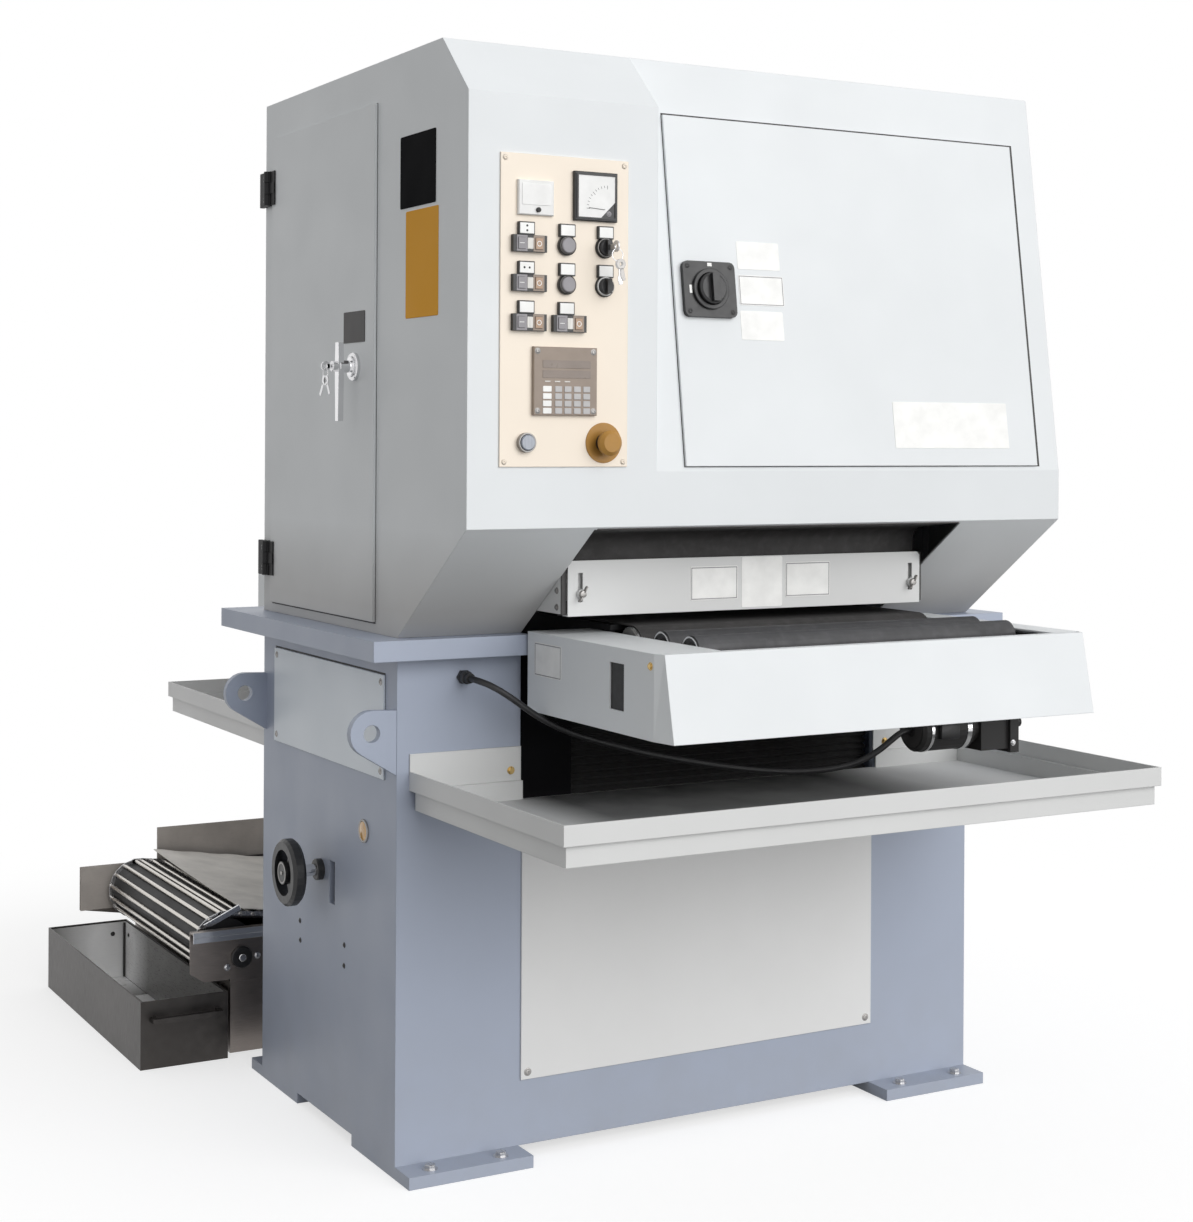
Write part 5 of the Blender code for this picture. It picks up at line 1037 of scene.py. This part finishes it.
def smooth_route(route, steps):
    """Points on the Catmull-Rom curve through a route."""
    knots = [Vector(p) for p in route]
    knots = [2 * knots[0] - knots[1]] + knots + [2 * knots[-1] - knots[-2]]
    points = []
    for a, b, c, d in zip(knots, knots[1:], knots[2:], knots[3:]):
        for i in range(steps):
            t = i / steps
            points.append(0.5 * (2 * b + (c - a) * t + (2 * a - 5 * b + 4 * c - d) * t * t
                                 + (3 * b - a - 3 * c + d) * t ** 3))
    return points + [knots[-2]]


def motor_cable():
    """The feed motor's cable, which sags under the table, and the nut of its gland."""
    gland = place_of("cable_gland")
    x, z = gland.middle().x, gland.middle().z
    under_table = x + CABLE_DROP[-1][0]
    way = place_of("gear_motor").x[0] - 2 * FIT - under_table
    route = [(x + past, y, z + up) for past, y, up in CABLE_DROP]
    route += [(under_table + share * way, y, z + up) for share, y, up in CABLE_SAG]
    points = smooth_route(route, 4)
    cable = put("motor_cable", tube(points, CABLE_R, 14), "cable", body=None)
    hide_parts("conveyor_cable")
    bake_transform(cable)
    nut = turned((x, z), [(0.0128, 0.0003), (0.0128, 0.0075), (0.0118, 0.0085)], 6)
    dome = turned((x, z), [(0.0112, 0.012), (0.0112, 0.018), (0.01, 0.0195)], 20)
    put("gland_nut", [nut, dome], "black", front_at(0.0))


# ---------------------------------------------------------------- base and trays
COVER_SCREW_IN = 0.013


def base_details():
    """Screws of the covers, the sight glass and small bolts in the base's side."""
    cover = place_of("front_cover")
    spots = corners(cover.x, cover.z, COVER_SCREW_IN)
    put("front_cover_screws", [screw(spot, 0.0048) for spot in spots], "zinc", front_at(cover.y[0]))
    cover = place_of("left_cover")
    spots = corners(cover.y, cover.z, COVER_SCREW_IN)
    side = left_at(0.0)
    put("left_cover_screws", [screw(spot, 0.0042) for spot in spots], "zinc", left_at(cover.x[0]))
    # wider at the top: painted shadow under the base's flange
    gap_and_shadow_strip("left_cover_gap_and_shadow", cover.y, cover.z, side, (0.0008, 0.0008, 0.0008, 0.003))
    sight = (0.139, 0.5655)
    put("sight_glass_ring", ring(sight, 0.0165, 0.0205, (0.0, 0.004), 0.0014), "zinc", side)
    put("sight_glass", turned(sight, [(0.0164, 0.0), (0.0164, 0.0026), (0.012, 0.0036)], 32), "oil", side)
    small = [screw(spot, 0.0034) for spot in ((0.445, 0.346), (0.443, 0.31), (0.227, 0.347), (0.228, 0.31))]
    put("side_screws", small, "dark_plate", side)
    put("drain_bar", slab((0.93, 1.045), (-0.014, -0.0036), (0.59, 0.598), 0.001), "ink")
    feet = place_of("base_frame")
    for name, y in (("front", (feet.y[0] + 0.026)), ("rear", 0.679)):
        nuts = [bolt((x, y), 0.01, 0.0, 0.009) for x in (0.05, 0.183, 1.037, 1.17)]
        put(f"foot_bolts_{name}", nuts, "steel", top_at(0.02))


def handwheel_details():
    """Steel ring and centre mark of the lift handwheel, and the boss on the base."""
    wheel = place_of("handwheel")
    centre = (wheel.middle().y, wheel.middle().z)
    face_at = left_at(wheel.x[0])
    hub = merged(ring(centre, 0.0168, 0.0192, (-0.0004, 0.0008), 0.0003),
                 turned(centre, [(0.0036, 0.0), (0.0036, 0.0012), (0.003, 0.0018)], 20))
    put("handwheel_hub", hub, "zinc", face_at, "handwheel")
    sleeve = ring(centre, 0.0091, 0.0108, (0.0125, 0.0365), 0.0004)
    put("handwheel_sleeve", sleeve, "bright", left_at(0.0), "handwheel")
    put("handwheel_boss", ring(centre, 0.0098, 0.0195, (0.0, 0.012), 0.0016), "black", left_at(0.0))


def tray_details():
    """Bolts of the tray tabs."""
    for name, spots in (("left", ((0.214, 0.676), (0.214, 0.636))),
                        ("right", ((1.02, 0.673), (1.02, 0.637), (1.173, 0.64)))):
        put(f"tray_bolts_{name}", [bolt(spot, 0.0052, 0.0, 0.004) for spot in spots], "brass", front_at(-0.0034))
    tray = place_of("front_tray")
    floor = tray.z[0] + SHEET
    # a film of painted shade on the front tray's floor under the passage
    film = slab(within(tray.x, 0.0115), (tray.y[0] + 0.0115, -0.004), (floor, floor + 0.0004), 0)
    put("tray_shade_film", film, "under_table_shade", smooth=False)
    rear = place_of("rear_tray")
    spots = ((0.214, 0.706), (0.214, 0.651), (1.006, 0.706), (1.006, 0.651))
    put("tray_bolts_rear", [bolt(spot, 0.0052, 0.0, 0.004) for spot in spots], "brass", back_at(rear.y[0] + 0.0031))


# ---------------------------------------------------------------- coolant filter
def filter_unit():
    """Rods on their chains, round the head end and along the top of the filter's band."""
    head = place_of("filter_head_roller").middle()
    band = place_of("filter_belt")
    tail = Vector((band.x[1] - 0.0334, 0.0, 0.175))
    y = within(band.y, 0.002)
    radius, tail_radius = 0.0625, 0.037
    way = math.hypot(tail.x - head.x, tail.z - head.z)
    lean = math.atan2(tail.z - head.z, tail.x - head.x) + math.acos((radius - tail_radius) / way)
    start = Vector((head.x + radius * math.cos(lean), 0, head.z + radius * math.sin(lean)))
    stop = Vector((tail.x + tail_radius * math.cos(lean), 0, tail.z + tail_radius * math.sin(lean)))
    step = 0.027
    path = []
    for i in range(7):
        turn = lean + step * (i + 0.5) / radius
        path.append(Vector((head.x + radius * math.cos(turn), 0, head.z + radius * math.sin(turn))))
    run = stop - start
    path = path[::-1] + [start + run.normalized() * step * i for i in range(int(run.length / step))]
    rods = [tube([point + Vector((0, y[0], 0)), point + Vector((0, y[1], 0))], 0.004, 10) for point in path]
    put("filter_rods", rods, "rod")
    links = []
    for side in within(y, 0.004):
        for a, b in zip(path, path[1:]):
            at = (a + b) / 2
            turn = math.atan2((b - a).z, (b - a).x)
            link = raised(rounded((-0.016, 0.016), (-0.0058, 0.0058), 0.0055, 4), (-0.0012, 0.0012), 0.0003)
            moved(link, Matrix.Rotation(-turn, 4, "Y") @ Matrix.Rotation(math.pi / 2, 4, "X"))
            links.append(moved(link, Matrix.Translation((at.x, side, at.z))))
    put("filter_chains", links, "steel")


def filter_sheets():
    """The fleece on the rods, and the near side's bright bars, bearing and bolts."""
    tank, belt = place_of("filter_tank"), place_of("filter_belt")
    y = within(belt.y, 0.001)
    fleece = bmesh.new()
    across, along = 24, 22
    x0, x1, fall, climb = 0.03, 0.52, 0.078, 0.014

    def corner(i, j):
        lie = 0.286 - fall * (i / along) + climb * (j / across) ** 2
        ripple = 0.0014 * math.sin(1.7 * i) * math.sin(0.6 * j + 0.4)
        return fleece.verts.new((x0 + (x1 - x0) * i / along, y[0] + (y[1] - y[0]) * j / across, lie + ripple))

    grid = [[corner(i, j) for j in range(across + 1)] for i in range(along + 1)]
    for a, b in zip(grid, grid[1:]):
        stitch(fleece, a, b, closed=False)
    thick(fleece, 0.0014)
    made = put("filter_fleece", fleece, "fleece")
    rail = [slab((tank.x[0] + 0.046, 0.6), (tank.y[0] - a, tank.y[0] - b), z, 0.0003)
            for a, b, z in ((0.0012, 0.0002, (0.234, 0.2555)), (0.0026, 0.0012, (0.244, 0.2456)))]
    put("filter_rail", rail, "mirror")
    bar = slab((-0.041, 0.041), (belt.y[0] - 0.006, belt.y[0] - 0.002), (-0.006, 0.006), 0.0006)
    moved(bar, Matrix.Translation((-0.016, 0.0, 0.2735)) @ Matrix.Rotation(-0.42, 4, "Y"))
    put("filter_end_bar", bar, "mirror")
    far = front_at(tank.y[1] - 0.0034 - 0.0004)
    sheets = [slab(x, z, (0.0, 0.001), 0.0003) for x, z in (((0.0455, 0.598), (0.26, 0.3445)),
                                                            ((tank.x[0] + 0.001, 0.045), (0.17, 0.2695)))]
    put("filter_splash_sheets", sheets, "splash", far)
    near = front_at(tank.y[0] + 0.016)
    spots = [(-0.012, 0.175), (0.052, 0.1925), (0.14, 0.205)]
    put("filter_side_bolts", [bolt(s, 0.005, 0.0, 0.004) for s in spots], "bright", near)
    put("filter_bearing", ring((0.017, 0.194), 0.008, 0.022, (0.0, 0.01), 0.0016), "black", near)
    put("filter_shaft", turned((0.017, 0.194), [(0.0078, 0.0), (0.0078, 0.0118), (0.0066, 0.013)], 20), "bright",
        near)


def sludge_details():
    """Inner walls with a painted highlight by the far corner, a painted highlight strip at the foot of the right
    wall, seam and bolts of the sludge box.
    """
    box = place_of("sludge_box")
    x, y, z = (box.x[0] + SHEET, box.x[1] - SHEET), (box.y[0] + 0.028 + SHEET, box.y[1] - SHEET), box.z
    deep, wall = (y[0] + 0.001, y[1] - 0.0014), (SHEET + 0.001, z[1] - 0.004)
    inner = [slab(*spans, 0.0002) for spans in (
        (within(x, 0.0002), (y[1] - 0.0012, y[1] - 0.0002), wall),
        ((x[0] + 0.0002, x[0] + 0.0012), deep, wall), ((x[1] - 0.0012, x[1] - 0.0002), deep, wall),
        (within(x, 0.002), deep, (SHEET + 0.0002, SHEET + 0.001)))]
    put("sludge_lining", inner, "lining", body="sludge_box", smooth=False)
    seam = slab((x[1] - 0.0062, x[1] - 0.0014), (y[1] - 0.0062, y[1] - 0.0014), (SHEET + 0.001, z[1] - 0.006),
                0.0008)
    put("sludge_seam", seam, "dark_plate", body="sludge_box")
    # a near-white strip on the floor at the foot of the right wall: a painted highlight
    foot = slab((x[1] - 0.03, x[1] - 0.0016), within(y, 0.18), (SHEET + 0.0012, SHEET + 0.0022), 0.0004)
    put("sludge_highlight_strip", foot, "strip", body="sludge_box")
    marks = [moved(screw((x[1] - 0.03, z[1] - 0.03), 0.0034), front_at(y[1] - 0.0012)),
             moved(screw((y[1] - 0.03, z[1] - 0.03), 0.0034), left_at(x[1] - 0.0012))]
    put("sludge_screws", marks, "dark_plate", body="sludge_box")


# ---------------------------------------------------------------- sides that the front view hides
def hidden_sides():
    """Screws of the drive-side cover, the rear access plate and its louvres."""
    cover = place_of("drive_side_cover")
    low, high = within(cover.z, 0.014)
    spots = [(y, z) for y in within(cover.y, 0.014) for z in (low, cover.middle().z, high)]
    put("drive_cover_screws", [screw(spot, 0.0046) for spot in spots], "bright", right_at(cover.x[1]))
    gap_and_shadow_strip("drive_cover_gasket", cover.y, cover.z, right_at(BASE_RIGHT))
    back = back_at(SHELL.y[1] - 0.01)
    u, v = (0.25, 0.97), (1.25, 1.78)
    put("rear_access_plate", plate(u, v, (0.0002, 0.0032), 0.004, 0.0006), "hood", back)
    spots = [(x, z) for x in (u[0] + 0.014, (u[0] + u[1]) / 2, u[1] - 0.014) for z in within(v, 0.014)]
    put("rear_access_screws", [screw(s, 0.0046, 0.0032) for s in spots], "bright", back)
    slats = [slab((0.62 + 0.15 * column, 0.75 + 0.15 * column), (z, z + 0.005), (0.003, 0.0072), 0.0016)
             for column in (0, 1) for z in (1.4 + 0.02 * i for i in range(9))]
    put("rear_louvres", slats, "hood", back)


# ---------------------------------------------------------------- finish
FLOOR_COLOUR = (0.24, 0.24, 0.24)  # as other surfaces see the floor
FLOOR_LIFT = 0.64  # how far the floor glows where it is seen
ROOM_LIGHT = 0.5
KEY_LIGHT = 2.2
KEY_FROM = Vector((0.32, -0.9, 0.36))  # towards the key lamp
KEY_SPREAD = math.radians(60)


def camera():
    """The view of the front and the left side, level, with a small shift."""
    lens_mm, eye = 61.02, Vector((-1.412, -3.2165, 1.2528))
    heading, roll = 0.509, 0.0052
    data = bpy.data.cameras.new("camera")
    data.lens = lens_mm
    data.sensor_width = 36.0
    data.shift_y = -0.141
    made = bpy.data.objects.new("camera", data)
    turn = Matrix.Rotation(-heading, 4, "Z") @ Matrix.Rotation(math.pi / 2, 4, "X")
    made.matrix_world = Matrix.Translation(eye + HOME) @ turn @ Matrix.Rotation(roll, 4, "Z")
    bpy.context.scene.collection.objects.link(made)
    bpy.context.scene.camera = made


def key_lamp():
    """A large soft lamp a little to the right of the front, and low."""
    data = bpy.data.lights.new("key", "SUN")
    data.energy = KEY_LIGHT
    data.angle = KEY_SPREAD
    made = bpy.data.objects.new("key", data)
    made.rotation_euler = KEY_FROM.to_track_quat("Z", "Y").to_euler()
    bpy.context.scene.collection.objects.link(made)


def floor_material():
    """A pale floor that keeps the object's shadow and fades to white away from it."""
    t = material("floor")
    t.set(Base_Color=FLOOR_COLOUR, Roughness=0.9)
    shaded = t.node("BsdfDiffuse", Color=(0.5, 0.5, 0.5)).outputs[0]
    pale = t.pick(t.node("AddShader"), shaded, t.node("Emission", Strength=FLOOR_LIFT).outputs[0])
    fade = t.node("MapRange", Value=t.away("LENGTH"), From_Min=1.4, From_Max=2.6)
    fade.interpolation_type = "SMOOTHSTEP"
    shown = t.pick(t.node("MixShader"), fade.outputs["Result"], pale, t.node("Emission").outputs[0])
    plain = t.nodes["Principled BSDF"].outputs[0]
    t.links.new(t.pick(t.node("MixShader"), t.seen(), plain, shown), t.nodes["Material Output"].inputs["Surface"])
    return t.owner


def stage():
    """Pale floor, white background and soft light."""
    bm = bmesh.new()
    bmesh.ops.create_grid(bm, x_segments=1, y_segments=1, size=20.0)
    mesh = bpy.data.meshes.new("floor")
    bm.to_mesh(mesh)
    bm.free()
    floor = bpy.data.objects.new("floor", mesh)
    bpy.context.scene.collection.objects.link(floor)
    mesh.materials.append(floor_material())
    world = bpy.data.worlds.new("world")
    bpy.context.scene.world = world
    t = Tree(world)
    white = (1.0, 1.0, 1.0)
    room = t.nodes["Background"]
    t.feed_all(room.inputs, {"Color": white, "Strength": ROOM_LIGHT})
    shown = t.node("Background", Color=white).outputs[0]
    t.links.new(t.pick(t.node("MixShader"), t.seen(), room.outputs[0], shown),
                t.nodes["World Output"].inputs["Surface"])
    key_lamp()
    bpy.context.scene.view_settings.view_transform = "Standard"


camera()
stage()
motor_cable()
control_panel()
hood_details()
guard_details()
throat_flap()
passage_bellows()
skirt_details()
roller_ends()
gear_motor_details()
base_details()
handwheel_details()
tray_details()
filter_unit()
filter_sheets()
sludge_details()
hidden_sides()
